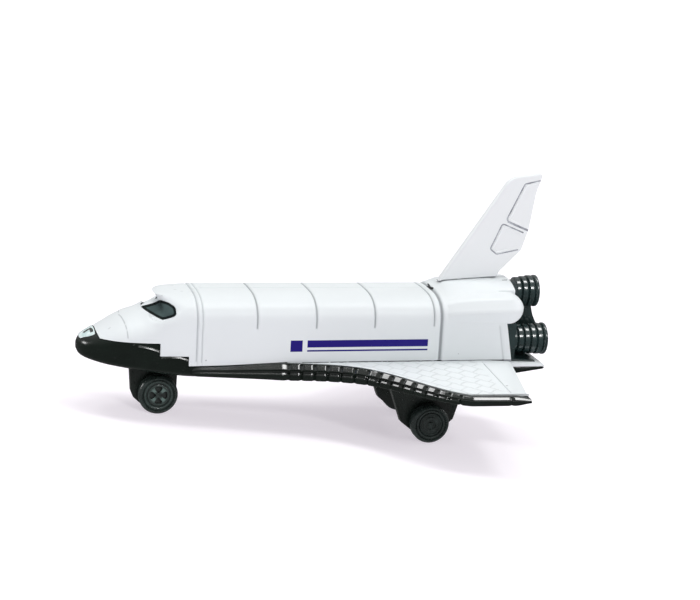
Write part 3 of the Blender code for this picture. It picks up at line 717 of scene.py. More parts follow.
class Finish(Shader):
    """One material and its nodes, with positions in millimetres."""

    def __init__(self, name):
        self.material = bpy.data.materials.new(name)
        self.material.use_nodes = True
        super().__init__(self.material.node_tree)
        self.shader = self.tree.nodes["Principled BSDF"]
        point = self.node("ShaderNodeTexCoord", {}, {}, "Object")
        self.point = self.node("ShaderNodeVectorMath", {"operation": "SCALE"}, {0: point, "Scale": 1 / MM})
        self.x, self.y, self.z = self.split(self.point)

    def noise(self, scale, detail=3.0, place=None):
        """Soft noise from 0 to 1. The scale is in waves per millimetre."""
        sockets = {"Vector": place or self.point, "Scale": scale, "Detail": detail}
        return self.node("ShaderNodeTexNoise", {}, sockets, "Fac")

    def mix(self, share, first, second):
        """A colour between two colours."""
        return self.node(
            "ShaderNodeMix", {"data_type": "RGBA"}, {0: share, 6: colour(first), 7: colour(second)}, 2)

    def joined(self, x, y, z=0.0):
        """A vector of three values."""
        return self.node("ShaderNodeCombineXYZ", {}, {0: x, 1: y, 2: z})

    def tiles(self, u, v, width, height, joint):
        """1 in the joints of staggered tiles."""
        return self.node(
            "ShaderNodeTexBrick", {"offset": 0.5, "squash": 1.0},
            {"Vector": self.joined(u, v), "Scale": 1.0, "Mortar Size": joint, "Mortar Smooth": 0.6,
             "Brick Width": width, "Row Height": height}, "Fac")

    def spot(self, place, at, inner, outer):
        """1 on a small round mark, fading to 0 between two distances from its middle."""
        away = self.node("ShaderNodeVectorMath", {"operation": "DISTANCE"}, {0: place, 1: at}, "Value")
        return 1 - away.rise(inner, outer)

    def bumped(self, height, depth):
        """A normal from a height of 0 to 1 over a depth in millimetres."""
        return self.node("ShaderNodeBump", {}, {"Strength": 1.0, "Distance": depth * MM, "Height": height})

    def done(self, base, rough, bump=None, **inputs):
        """Fills the shader's own sockets and gives the material. The bump is a height and its depth."""
        if bump:
            inputs["Normal"] = self.bumped(*bump)
        for name, value in {"Base_Color": base, "Roughness": rough, **inputs}.items():
            self.plug(self.shader.inputs[name.replace("_", " ")], value)
        return self.material


def colour(value):
    """A colour with its alpha, or the wire as it is."""
    if isinstance(value, Wire):
        return value
    return (*value, 1.0)


def shade(value, share):
    """A colour made darker."""
    return tuple(c * share for c in value)


def enamel(finish, painted_shade_and_joints):
    """White enamel's colour and roughness. The mask is 1 in grooves, seams and gaps, where the white is
    darkened to grey as painted shade; on the wing it also darkens the tile joints a little.
    """
    white = tuple(bpy.context.scene.shuttle_paint.enamel)
    relief = bpy.context.scene.shuttle_relief
    cloud = finish.noise(0.09, 4.0)
    fleck = finish.noise(2.6, 2.0)
    base = finish.mix(cloud.rise(0.3, 0.7), shade(white, 0.985), tuple(min(c * 1.01, 1) for c in white))
    base = finish.mix(fleck.rise(0.62, 0.8) * 0.03, base, shade(white, 0.8))
    # painted shade: the white turns grey where the mask is 1
    base = finish.mix(painted_shade_and_joints * relief.groove_shade, base, (0.12, 0.13, 0.15))
    return base, 0.38 + finish.noise(0.5, 3.0) * 0.1 + painted_shade_and_joints * 0.3


def lacquered(finish, base, rough, bump, coat=0.2, **inputs):
    """Fills in a white enamel under its thin clear coat."""
    return finish.done(base, rough, bump, Coat_Weight=coat, Coat_Roughness=0.4, **inputs)


def hull_enamel():
    """White enamel of the fuselage, with painted shade in its groove lines, small cast marks and along the
    wing root, and printed side stripes.
    """
    finish = Finish("fuselage enamel")
    x, y, z = finish.x, finish.y, finish.z
    # painted shade along the roof's crest seam, in the broken nose groove and beside the bulkhead lip
    crest = abs(y).line(0.0, 0.03, 0.09) * x.band(CREST[0], CREST[1], 0.1) * z.rise(9.0, 9.2)
    broken = finish.noise(0.7, 2.0).rise(0.35, 0.5)
    nose = (x - abs(y) * 0.1).line(NOSE_GROOVE, 0.03, 0.12) * z.rise(3.8, 4.1) * broken * 0.6
    lip = (x + z * BULKHEAD_LEAN).line(AFT_END - LIP - 0.1, 0.04, 0.16) * z.band(0.0, 5.9, 0.3) * 0.3
    painted_shade_and_joints = crest.most(nose).most(lip)
    # painted shade in each groove
    for at, lowest, width, _, tone in GROOVES:
        painted_shade_and_joints = painted_shade_and_joints.most(x.line(at, width * 0.25, width * 1.1) * z.rise(lowest - 0.15, lowest + 0.15) * tone)
    # spots of painted shade in the small cast marks
    for mx, mz, radius, tone in SIDE_MARKS:
        painted_shade_and_joints = painted_shade_and_joints.most(finish.spot(finish.joined(x, 0.0, z), (mx, 0.0, mz), radius * 0.5, radius) * tone)
    for mx, my, radius in ROOF_MARKS:
        mark = finish.spot(finish.joined(x * 0.6, y), (mx * 0.6, my, 0.0), radius * 0.4, radius)
        painted_shade_and_joints = painted_shade_and_joints.most(mark * 0.4 * z.rise(3.0, 4.0))
    base, rough = enamel(finish, painted_shade_and_joints)
    # painted shade on the fuselage side along the wing root
    root = 1 - (z + (finish.noise(0.5, 3.0) - 0.5) * 0.12).rise(0.06, 0.2)
    base = finish.mix(root * x.rise(42.5, 44.5) * z.rise(-0.4, -0.2) * 0.75, base, (0.1, 0.11, 0.13))
    printed = 0.0
    for start, end, low, high in STRIPES:
        printed = (z.band(low, high, 0.03) * x.band(start, end, 0.03)).most(printed)
    base = finish.mix(printed, base, tuple(bpy.context.scene.shuttle_paint.stripe))
    wave = finish.noise(0.35, 2.0) * 0.6 + finish.noise(9.0, 2.0) * 0.06
    return lacquered(finish, base, rough, (wave, 0.02), (1 - printed) * 0.2, Specular_IOR_Level=0.25)


def wing_enamel():
    """White enamel of the wing tops, with staggered tiles, and painted shade along the fuselage and in the
    elevon hinge.
    """
    finish = Finish("wing enamel")
    x, out = finish.x, abs(finish.y)
    sway = finish.noise(0.5, 2.0)
    joint = finish.tiles((x + out) * 0.7071 + sway * 0.7, (out - x) * 0.7071 + sway * 0.9, 2.7, 2.3, 0.17)
    joint = joint * x.band(35.0, HINGE - 1.2, 0.3) * out.rise(8.7, 9.2)
    joint = joint * (1 - (out - x * 0.952).rise(-31.9, -31.3))
    # painted shade along the wing root, broken in places aft
    wobble = (finish.noise(0.45, 3.0) - 0.5) * 0.16
    root = (1 - (out + wobble).rise(HALF_WIDTH + 0.02, HALF_WIDTH + 0.16)) * x.rise(34.5, 36.0)
    root = root * (1 - x.band(60.0, 69.0, 1.0) * finish.noise(0.5, 2.0).rise(0.45, 0.6) * 0.6)
    # painted shade in the elevon hinge line
    hinge = x.line(HINGE, 0.04, 0.14) * out.band(9.9, 23.9, 0.2) * 0.55
    # painted shade of root and hinge, with the tile joints' own slightly darker tone
    painted_shade_and_joints = (root * 1.5).most(hinge).most(joint * 0.2)
    # spots of painted shade along the root, and below them one at the hinge line's end
    for at, tone in ROOT_SPOTS:
        spot = finish.spot(finish.joined(x * 0.7, out), (at * 0.7, HALF_WIDTH + 0.15, 0.0), 0.16, 0.32)
        painted_shade_and_joints = painted_shade_and_joints.most(spot * tone)
    painted_shade_and_joints = painted_shade_and_joints.most(finish.spot(finish.joined(x, out), (HINGE + 0.4, 20.7, 0.0), 0.12, 0.26) * 0.9)
    base, rough = enamel(finish, painted_shade_and_joints)
    tile_depth = bpy.context.scene.shuttle_relief.tile_depth / MM
    return lacquered(finish, base, rough, ((1 - joint) * tile_depth + finish.noise(0.8, 3.0) * 0.03, 1.0))


def fin_enamel():
    """White enamel of the fin, with painted shade along its foot, and elsewhere painted lighter than the
    fuselage's white to make up for the light it gets less of.
    """
    finish = Finish("fin enamel")
    x, z = finish.x, finish.z
    foot = (11.86 + (x - 62.0) * (12.48 - 11.86) / 9.4).least(11.58 + (x - 61.1) * 0.31)
    # painted shade along the fin's foot, where it meets the roof, broken by noise
    foot_gap_shade = (1 - (z - foot).rise(0.1, 0.22)) * finish.noise(0.6, 2.0).rise(0.25, 0.4)
    base, rough = enamel(finish, foot_gap_shade * 1.4)
    # painted light: away from its foot the fin's white is mixed lighter than the enamel colour
    base = finish.mix(0.55 - foot_gap_shade * 0.55, base, (0.95, 0.97, 0.98))
    return lacquered(finish, base, rough, (finish.noise(0.3, 2.0), 0.03))


def plain_enamel(name):
    """White enamel of the pods and the flap."""
    finish = Finish(name)
    base, rough = enamel(finish, finish.z * 0.0)
    wave = finish.noise(0.4, 2.0) * 0.8 + finish.noise(9.0, 2.0) * 0.06
    return lacquered(finish, base, rough, (wave, 0.03))


def moulded_black(name, colour_name, gloss, grain, shine, tiled=False):
    """Moulded black plastic: slightly uneven gloss, a fine skin and a few pale specks of dust."""
    finish = Finish(name)
    black = tuple(getattr(bpy.context.scene.shuttle_paint, colour_name))
    speck = finish.noise(3.4, 1.0).rise(0.72, 0.8)
    base = finish.mix(finish.noise(0.25, 4.0).rise(0.35, 0.7), black, shade(black, 1.5))
    base = finish.mix(speck * 0.12, base, (0.25, 0.27, 0.27))
    rough = gloss + finish.noise(0.6, 4.0) * 0.08 + speck * 0.1
    height = finish.noise(1.3, 3.0) * 0.5 + finish.noise(12.0, 2.0) * 0.1
    if tiled:
        joint = finish.tiles(finish.x, finish.y, 4.2, 2.8, 0.14) * (1 - finish.z.rise(-2.55, -2.45))
        height = height + (1 - joint) * 2.0
    return finish.done(base, rough, (height, grain), Specular_IOR_Level=shine)


def wheel_finish(name, spoked):
    """Half-gloss black of the wheels: darkened in their hollows as painted shade, with a paler ring and
    painted highlight on the spokes of the front ones, and pale specks on the rear hubs.
    """
    finish = Finish(name)
    black = tuple(bpy.context.scene.shuttle_paint.wheels)
    radius = finish.node(
        "ShaderNodeVectorMath", {"operation": "LENGTH"}, {0: finish.joined(0.0, finish.y, finish.z)}, "Value")
    # painted shade in the hollows: dark where the face lies deeper than its front
    hollow = (1 - finish.x.rise(-0.42, -0.14)) * (1 - radius.rise(2.55, 2.75))
    speck = finish.noise(2.4, 2.0).rise(0.6, 0.75)
    base = finish.mix(finish.noise(0.9, 4.0).rise(0.35, 0.7), black, shade(black, 1.6))
    pale = radius.band(1.62, 2.3, 0.1) * 0.5 if spoked else radius.band(0.4, 1.9, 0.15) * speck
    base = finish.mix(pale, base, shade(black, 3.4))
    # painted highlight on the front wheels' spokes
    if spoked:
        base = finish.mix(radius.band(0.7, 1.4, 0.2) * 0.8, base, shade(black, 8.0))
    # painted shade in the hollows
    base = finish.mix(hollow * 0.9, base, shade(black, 0.12))
    rough = 0.2 + finish.noise(1.2, 4.0) * 0.14 + hollow * 0.3
    height = finish.noise(1.6, 3.0) + speck * (0.3 if spoked else 1.2)
    return finish.done(base, rough, (height, 0.05), Specular_IOR_Level=1.0)


def painted_reflection_finish():
    """Pale grey-green colour of the pad on the nose, a painted reflection of the lights on the black nose
    cap.
    """
    finish = Finish("nose pad grey")
    cloud = finish.noise(0.8)
    base = finish.mix(cloud.rise(0.35, 0.65), (0.56, 0.72, 0.71), (0.8, 0.9, 0.9))
    return finish.done(base, 0.2 + cloud * 0.1, (cloud, 0.03), Specular_IOR_Level=0.5)


def dark_glazing(name, tone):
    """Opaque dark glazing of the cabin windows."""
    finish = Finish(name)
    base = finish.mix(finish.noise(0.35).rise(0.3, 0.7), tone, shade(tone, 1.18))
    rough = 0.6 + finish.noise(1.5, 2.0) * 0.1
    return finish.done(base, rough, (finish.noise(0.8, 2.0), 0.015), Specular_IOR_Level=0.05)


def shadow_gap():
    """Painted shade: the dark of a narrow slot's shadowed inside, laid as a strip."""
    finish = Finish("slot dark")
    tone = finish.mix(finish.noise(1.0, 2.0), (0.02, 0.022, 0.024), (0.05, 0.053, 0.056))
    return finish.done(tone, 0.7, Specular_IOR_Level=0.2)


def line_shade():
    """Grey shade that lies in a shallow cast line."""
    finish = Finish("line grey")
    tone = finish.mix(finish.noise(0.9).rise(0.3, 0.7), (0.2, 0.215, 0.25), (0.48, 0.5, 0.54))
    return finish.done(tone, 0.5, Specular_IOR_Level=0.3)


def drawn_steel(name):
    """Bright steel wire with fine draw lines around it."""
    finish = Finish(name)
    steel = tuple(bpy.context.scene.shuttle_paint.steel)
    lines = finish.noise(2.0, 2.0, finish.joined(finish.x * 6, finish.y * 0.4, finish.z * 6))
    base = finish.mix(lines, shade(steel, 0.8), steel)
    return finish.done(base, 0.22 + lines * 0.2, (lines, 0.01), Metallic=1.0)


def studio_floor():
    """Matt pale floor that glows a little."""
    finish = Finish("studio floor")
    studio = bpy.context.scene.shuttle_studio
    pale = tuple(studio.floor)
    tone = finish.mix(finish.noise(0.004, 2.0), shade(pale, 0.998), pale)
    return finish.done(
        tone, 0.9, Specular_IOR_Level=0.0, Emission_Color=(*studio.glow, 1.0), Emission_Strength=1.0)


def hull_section(x):
    """Half a section of the fuselage, from the middle of the belly round to the middle of the roof: y, z."""
    half, belly, low, high, top, power = hull_at(x)
    points = [(half * BELLY_FLAT * share, belly) for share in (0.0, 0.35, 0.7)]
    for a in np.linspace(0, math.pi / 2, 11):
        y = half * (BELLY_FLAT + (1 - BELLY_FLAT) * math.sin(a))
        points.append((y, low - (low - belly) * math.cos(a)))
    for share in (0.2, 0.35, 0.5, 0.65, 0.8, 0.9, 0.96):
        points.append((half, low + (high - low) * share))
    for a in np.linspace(0, math.radians(86), 29):
        points.append((half * math.cos(a) ** (2 / power), high + (top - high) * math.sin(a) ** (2 / power)))
    last = points[-1][0]
    for share in (0.7, 0.45, 0.27, 0.16, 0.09, 0.04, 0.0):
        points.append((last * share, roof_z(x, last * share)))
    return points


def hull_form(stations, relief=None, grow=0.0, lean=None):
    """The fuselage through a list of stations, with relief in its skin and parts leant ahead."""
    grid = []
    for x in stations:
        half = hull_section(x)
        grid.append([(x, y, z) for y, z in half] + [(x, -y, z) for y, z in half[-2:0:-1]])
    grid = np.array(grid)
    along = np.gradient(grid, axis=0)
    around = np.roll(grid, -1, axis=1) - np.roll(grid, 1, axis=1)
    facing = np.cross(around, along)
    facing /= np.maximum(np.linalg.norm(facing, axis=2, keepdims=True), 1e-9)
    outward = np.sign(np.sum(facing * (grid - [0, 0, 3.0]) * [0, 1, 1], axis=2, keepdims=True))
    facing *= np.where(outward == 0, 1, outward)
    moved = grid + facing * grow
    if relief:
        facing[:, :, 0] = 0
        facing /= np.maximum(np.linalg.norm(facing, axis=2, keepdims=True), 1e-9)
        moved += facing * relief(grid[:, :, 0], grid[:, :, 1], grid[:, :, 2])[:, :, None]
    moved[:, :, 2] -= windscreen_sink(*np.moveaxis(moved - [0, 0, grow], 2, 0))
    if lean:
        moved[:, :, 0] += lean(*np.moveaxis(moved, 2, 0))
    return Form().rings(moved)


def brow_edge(out):
    """Where the brow's lower edge is, at a distance from the centre."""
    return 13.92 + 0.22 * np.clip(out - 1.9, 0, 4) + 0.75 * np.clip(out - 5.9, 0, 2)


def windscreen_sink(x, y, z):
    """How far the windscreen lies below the roof's round: it falls to both sides of a post up its middle."""
    out = np.abs(y)
    away = rise(x, 11.1, 12.5)
    fall = POST * (1 - ridge(out, 0.6)) + FALL * np.maximum(0, out - 0.7)
    height = np.interp(x, CREST_X, CREST_Z) - away * fall
    sink = np.maximum(0, z - height) * (1 - rise(out, 6.6, 7.9)) * rise(z, 6.3, 7.6) * rise(x, 10.9, 11.4)
    soft = 0.06 + 0.55 * np.clip(out - 2.9, 0, 1.9)
    return sink * (1 - rise(x, brow_edge(out) - soft, brow_edge(out) + soft))


def brow_lean(x, y, z):
    """How far the brow's front leans out over the windscreen."""
    out = np.abs(y)
    over = np.clip((z - 8.95) / 1.15, 0, 1) * np.clip(1 - (out / 5.6) ** 2, 0, 1)
    ahead = (1 - rise(x, 14.0, 16.2)) * rise(x, brow_edge(out) - 0.02, brow_edge(out) + 0.05)
    return -BROW_LEAN * over * ahead


def white_relief(x, y, z):
    """Grooves, lip and swellings cast into the white fuselage."""
    depth = bpy.context.scene.shuttle_relief.groove_depth / MM
    push = 0.0
    for at, lowest, width, share, _ in GROOVES:
        above = rise(z, lowest - 0.15, lowest + 0.15)
        push -= depth * share * ridge(x - at, width) * above
        push += 0.05 * ridge(x - at - 2.2 * width, width) * above
    push += 0.07 * ridge(x - CABIN_BAND, 0.16) * rise(z, 0.2, 0.6)
    around = x - NOSE_GROOVE - 0.1 * np.abs(y)
    push -= 0.07 * ridge(around, 0.13) * rise(z, 3.7, 4.0)
    push += 0.05 * ridge(around - 0.42, 0.2) * rise(z, 3.7, 4.0)
    roof = rise(x, CREST[0] - 0.1, CREST[0] + 0.1) * (1 - rise(x, CREST[1] - 0.1, CREST[1] + 0.1))
    push -= depth * 0.9 * ridge(y, 0.09) * roof * rise(z, 9.0, 9.2)
    push += 0.06 * rise(x, AFT_STEP - 0.1, AFT_STEP + 0.15)
    into = x - (bulkhead_x(z) - LIP)
    on_lip = rise(z, -0.6, 0.0) * (1 - rise(z, 5.4, 6.4))
    push += (0.12 * rise(into, -0.02, 0.14) - 0.06 * ridge(into + 0.12, 0.12)) * on_lip
    ledge = z - np.interp(x, LEDGE_X, LEDGE_Z)
    push += 0.1 * ridge(ledge, 0.2) * rise(x, 12.0, 12.8) * (1 - rise(x, 15.4, 16.4))
    return push


def stations():
    """Stations along the fuselage, close together at each groove."""
    found = list(np.geomspace(0.6, 3.0, 14))
    for run in STATION_RUNS:
        found += list(np.arange(*run))
    cluster = (-0.5, -0.34, -0.24, -0.17, -0.11, -0.05, 0.0, 0.05, 0.11, 0.17, 0.24, 0.34, 0.5)
    for centre in [row[0] for row in GROOVES] + [*CREST, AFT_STEP]:
        found += [centre + away for away in cluster]
    kept = []
    for x in sorted(found):
        if not kept or x - kept[-1] > 0.03:
            kept.append(x)
    return kept


def seam_form(shift, white):
    """A block that keeps the white part of the fuselage, or its black part."""
    outline = [(x + shift, z + shift) for x, z in SIDE_SEAM]
    last = WING_SPLIT + shift
    outline.append((bulkhead_x(last), last))
    if white:
        outline.append((bulkhead_x(FAR), FAR))
    else:
        outline += [(bulkhead_x(-FAR), -FAR), (-2.0, -FAR), (-2.0, FAR)]
    return Form().prism(outline, -FAR, FAR)


def soft_outline(points, share=0.22, times=3):
    """A closed outline with its corners cut round."""
    points = [Vector(p) for p in points]
    for _ in range(times):
        cut = []
        for i, point in enumerate(points):
            cut += [point.lerp(points[i - 1], share), point.lerp(points[(i + 1) % len(points)], share)]
        points = cut
    return points


def moved_in(points, distance):
    """A flat closed outline of x and y with all its sides moved in, or out where the distance is negative."""
    turn = sum(a.x * b.y - a.y * b.x for a, b in zip(points, points[1:] + points[:1]))
    moved = []
    for i, point in enumerate(points):
        sides = []
        for start, end in ((points[i - 1], point), (point, points[(i + 1) % len(points)])):
            way = (end - start).normalized()
            sides.append(Vector((-way.y, way.x)) * math.copysign(1, turn))
        moved.append(point + (sides[0] + sides[1]) * distance / (1 + sides[0].dot(sides[1])))
    return moved


def window_form(side, inset):
    """A block that goes into the cabin through one window's outline."""
    out = Vector((WINDOW_CUT.x, -side * WINDOW_CUT.y, WINDOW_CUT.z)).normalized()
    across = out.cross(Vector((0, 0, 1))).normalized()
    above = across.cross(out)
    corners = [Vector((x, -side * y, z)) for x, y, z in WINDOW]
    flat = moved_in([Vector((c.dot(across), c.dot(above))) for c in corners], inset)
    outline = [across * f.x + above * f.y + out * c.dot(out) for f, c in zip(flat, corners)]
    outline = soft_outline(outline, 0.16, 2)
    return Form().rings([[point + out * depth for point in outline] for depth in WINDOW_REACH])


def build_fuselage():
    """White fuselage with its grooves, lip and window openings."""
    hull = raw_object("fuselage", hull_form(stations(), white_relief, lean=brow_lean))
    boolean(hull, raw_object("white_block", seam_form(0.5 * SEAM, True)), "INTERSECT")
    for side in (-1, 1):
        boolean(hull, raw_object("opening", window_form(side, -0.1)), "DIFFERENCE")
    dress(hull, hull_enamel(), replaces=("upper_casting",))


def build_windows():
    """Dark window frames with a slightly lighter pane in each."""
    glass = tuple(bpy.context.scene.shuttle_paint.glazing)
    frame_finish = dark_glazing("window frame", shade(glass, 0.16))
    pane_finish = dark_glazing("window pane", glass)
    cabin = [x for x in stations() if 9.5 < x < 18.5]
    for side, word in SIDES:
        surround = raw_object(f"window_frame_{word}", window_form(side, -0.02))
        boolean(surround, raw_object("skin", hull_form(cabin, grow=-0.1)), "INTERSECT")
        dress(surround, frame_finish)
        pane = raw_object(f"window_pane_{word}", window_form(side, 0.32))
        boolean(pane, raw_object("skin", hull_form(cabin, grow=-0.06)), "INTERSECT")
        dress(pane, pane_finish, replaces=(f"window_{word}",))


def pod_section(x, side):
    """The outline of a pod at a station."""
    share = float(pod_growth(x)[0])
    aft = max(x - POD_ROUND, 0.0) / (POD_END - POD_ROUND)
    size = max(0.03, 1 - aft ** 1.8) ** (1 / 1.7)
    outline = [Vector(a).lerp(Vector(b), share) for a, b in zip(POD_START, POD_FULL)]
    outline += [Vector(p) for p in POD_INSIDE]
    middle = Vector(POD_MIDDLE)
    outline = soft_outline([middle + (p - middle) * size for p in outline], 0.12 + 0.1 * (1 - size), 3)
    return [(x, side * p.x, p.y) for p in outline]


def build_pods():
    """Rear pods and the deck between them."""
    finish = plain_enamel("pod enamel")
    places = [*np.arange(60.45, 71.4, 0.3), *(POD_END - 3.25 * np.linspace(1, 0, 24) ** 1.6)]
    for side, word in SIDES:
        form = Form().rings([pod_section(float(x), side) for x in places])
        dress(raw_object(f"pod_{word}", form), finish)
    deck = raw_object("pod_deck", hull_form([69.0, 70.0, 71.0, 72.0, 73.0, 73.8], grow=-0.01))
    start, end, half = DECK
    block = [(start, 9.0), (end, 9.0), (end, 14.0), (start, 14.0)]
    boolean(deck, raw_object("deck_block", Form().prism(block, -half, half)), "INTERSECT")
    dress(settle(round_edges(deck, 0.15)), finish)
    # strips of painted shade in the deck's slots
    slots = Form()
    for line, width, height in DECK_SLOTS:
        slots.bead([on_roof(x, y) for x, y in line], width, height)
    dress(raw_object("deck_slots", slots), shadow_gap())


def bar_path():
    """Runs along the bar: a function of distance to x, y, top, bottom, and the distance at each row."""
    run = [0.0]
    for a, b in zip(BAR, BAR[1:]):
        run.append(run[-1] + math.dist(a[:2], b[:2]))
    return between([(s, *row) for s, row in zip(run, BAR)]), run


def panel_line():
    """Points along the front and tip edge of the white wing panel: x, y."""
    at, run = bar_path()
    points = []
    for s in np.arange(run[BAR_RIBBED[0]], run[-1] + 0.01, 0.5):
        here, there = at(s - 0.05), at(s + 0.05)
        along = Vector((there[0] - here[0], there[1] - here[1])).normalized()
        inward = Vector((along.y, -along.x)) * (BAR_WIDTH + SEAM)
        middle = (here + there) / 2
        points.append((middle[0] + inward.x, middle[1] + inward.y))
    return points


def wing_rings(side, edge, section):
    """Sections of a wing panel from inside the fuselage to its tip."""
    rings = []
    last = 0.0
    for lead, y in [(edge[0][0] + 0.3, PANEL_TOP_ROOT)] + edge:
        if y <= last + 0.01:
            continue
        last = y
        rings.append([(x, side * y, z) for x, z in section(lead, y)])
    return rings


def white_section(lead, y):
    """Section of the white wing panel at a distance from the centre: x, height."""
    top = wing_top(y)
    low = WING_SPLIT + 0.05
    trail = max(trail_x(y), lead + 0.6)
    front = [(lead, low)] + [(lead + back, top - down) for back, down in WING_FRONT]
    room = max(trail - 0.6, lead + 0.4)
    hinge = HINGE if lead + 0.8 < HINGE - 0.5 else (lead + room) / 2
    field = [(x, top) for x in np.linspace(lead + 0.4, hinge - 0.45, 16)[:-1]]
    hinged = lead + 0.8 < HINGE - 0.5 and 9.2 <= y <= 24.0
    groove = [(hinge + away, top - 0.13 * hinged * float(ridge(away, 0.13))) for away in HINGE_GROOVE]
    aft = np.linspace(hinge + 0.6, room, 6)
    rear = [(x, top - 0.2 * ((x - hinge) / (trail - hinge)) ** 2) for x in aft]
    end = [(trail - 0.1, top - 0.28), (trail, top - 0.45), (trail, low)]
    return front + field + groove + rear + end


def black_section(lead, y):
    """Section of the black panel below the wing: x, height."""
    trail = max(trail_x(y), lead + 0.6)
    low = WING_SPLIT - 0.05
    chord = trail - lead
    return [(lead, low), (trail, low), (trail, -2.1), (lead + 0.8 * chord, WING_BELLY), (lead, WING_BELLY)]


def build_wings():
    """White wing tops with tiles and elevon hinges, and the top of the body flap."""
    finish = wing_enamel()
    for side, word in SIDES:
        form = Form().rings(wing_rings(side, panel_line(), white_section))
        dress(raw_object(f"wing_top_{word}", form), finish, sharp=30)
    # strips of painted shade along the wing root's seam
    seam = Form()
    for side, _ in SIDES:
        facing = Vector((0, side * 0.7, 0.7))
        for start, end, width in ROOT_SEAM:
            line = [(Vector((x, side * HALF_WIDTH, 0.03)), facing) for x in (start, (start + end) / 2, end)]
            seam.bead(line, width, 0.05)
    dress(raw_object("wing_root_seam", seam), shadow_gap())
    flap = [(71.0, -1.45), (FLAP_END, -1.45), (FLAP_END, FLAP_TOP - 0.05)]
    flap += [(78.0, FLAP_TOP + 0.1), (71.0, FLAP_TOP + 0.35)]
    made = raw_object("flap_top", Form().prism(flap, -FLAP_HALF, FLAP_HALF))
    dress(settle(round_edges(made, 0.12)), plain_enamel("flap enamel"))


def rounded(outline, steps=8):
    """An outline of x, height and radius, with each corner that has a radius as an arc."""
    points = []
    for i, (x, z, radius) in enumerate(outline):
        here = Vector((x, z))
        if radius == 0:
            points.append(here)
            continue
        before = (Vector(outline[i - 1][:2]) - here).normalized()
        after = (Vector(outline[(i + 1) % len(outline)][:2]) - here).normalized()
        half = before.angle(after) / 2
        middle = here + (before + after).normalized() * radius / math.sin(half)
        start = here + before * radius / math.tan(half) - middle
        turn = (here + after * radius / math.tan(half) - middle).angle_signed(start)
        points += [middle + Matrix.Rotation(turn * k / steps, 2) @ start for k in range(steps + 1)]
    return points


def fin_half(z):
    """Half the fin's thickness at a height."""
    share = (z - FIN[0][1]) / (FIN[2][1] - FIN[0][1])
    return FIN_THICK / 2 * (1 - (1 - FIN_TAPER) * share)


def build_fin():
    """Tail fin with rounded edges, its rudder panels in raised line beside grey lines of painted shade, and
    painted shade along its foot.
    """
    relief = bpy.context.scene.shuttle_relief
    finish = fin_enamel()
    outline = rounded(FIN)
    fin = raw_object("fin", Form().prism(outline, -FIN_THICK / 2, FIN_THICK / 2))
    for v in fin.data.vertices:
        v.co.y = math.copysign(fin_half(v.co.z / MM) * MM, v.co.y)
    dress(settle(round_edges(fin, 0.45, 5, 50)), finish, replaces=("tail_fin",))
    raised = Form()
    cut = Form()
    # Along each panel's edge: how far in from it, width, height; the first strips are grey, painted shade for
    # the cast line
    strips = ((cut, 0.0, 0.22, 0.03), (raised, 0.34, 0.36, relief.fin_line / MM))
    for side, _ in SIDES:
        out = Vector((0, side, 0))
        for panel in FIN_PANELS:
            corners = rounded([(x, z, 0.45 * (0 < i < len(panel) - 1)) for i, (x, z) in enumerate(panel)], 5)
            for form, inset, width, height in strips:
                line = [Vector((p.x, side * fin_half(p.y), p.y)) for p in moved_in(corners, inset)]
                form.bead([(point, out) for point in line], width, height)
        cut.bead([(Vector((x, side * fin_half(z), z)), out) for x, z in FIN_CUT], 0.34, 0.04)
    dress(raw_object("fin_panel_ridges", raised), finish)
    # grey strips of painted shade where the panel lines are cast
    dress(raw_object("fin_panel_grooves", cut), line_shade())


def build_base():
    """Black base: nose cap, chin, belly, wing undersides and the flap's wedge."""
    finish = moulded_black("base black", "plastic", gloss=0.14, grain=0.02, shine=0.5, tiled=True)
    belly = raw_object("base", hull_form(stations()))
    boolean(belly, raw_object("black_block", seam_form(-0.5 * SEAM, False)), "INTERSECT")
    dress(belly, finish, replaces=("underside",))
    edge = [(x - 0.1, y + 0.2) for x, y in panel_line()]
    for side, word in SIDES:
        form = Form().rings(wing_rings(side, edge, black_section))
        dress(raw_object(f"under_wing_{word}", form), finish)
    wedge = [(71.0, WING_BELLY), (73.3, WING_BELLY), (78.5, -1.85), (FLAP_END, -1.55), (71.0, -1.55)]
    made = raw_object("flap_wedge", Form().prism(wedge, -FLAP_HALF, FLAP_HALF))
    dress(settle(round_edges(made, 0.12)), finish)
    trim = Form()
    for side, _ in SIDES:
        for line, width, height in CHIN_RIDGES:
            trim.bead([on_side(x, z, side) for x, z in line][::-side], width, height, SHOULDER)
        trim.knob(*on_side(*CHIN_KNOB, side), 0.2, 0.16)
    mark = [on_roof(x, y) for x, y in NOSE_MARK]
    trim.bead([(point + facing * 0.1, facing) for point, facing in mark], 0.55, 0.1)
    shiny = moulded_black("moulding black", "plastic", gloss=0.16, grain=0.02, shine=1.0)
    dress(raw_object("nose_mouldings", trim), shiny)
    # the pale pad on the nose is a painted reflection of the lights on the black cap
    outline = [Vector((x, y, 0)) for x, y in NOSE_REFLECTION] + [Vector((x, -y, 0)) for x, y in NOSE_REFLECTION[::-1]]
    rings = []
    for share, up in NOSE_REFLECTION_RISE:
        spots = [NOSE_REFLECTION_MIDDLE.lerp(place, share) for place in soft_outline(outline, 0.2, 2)]
        rings.append([point + facing * up for point, facing in (on_roof(spot.x, spot.y) for spot in spots)])
    dress(raw_object("nose_pad", Form().rings(rings)), painted_reflection_finish())


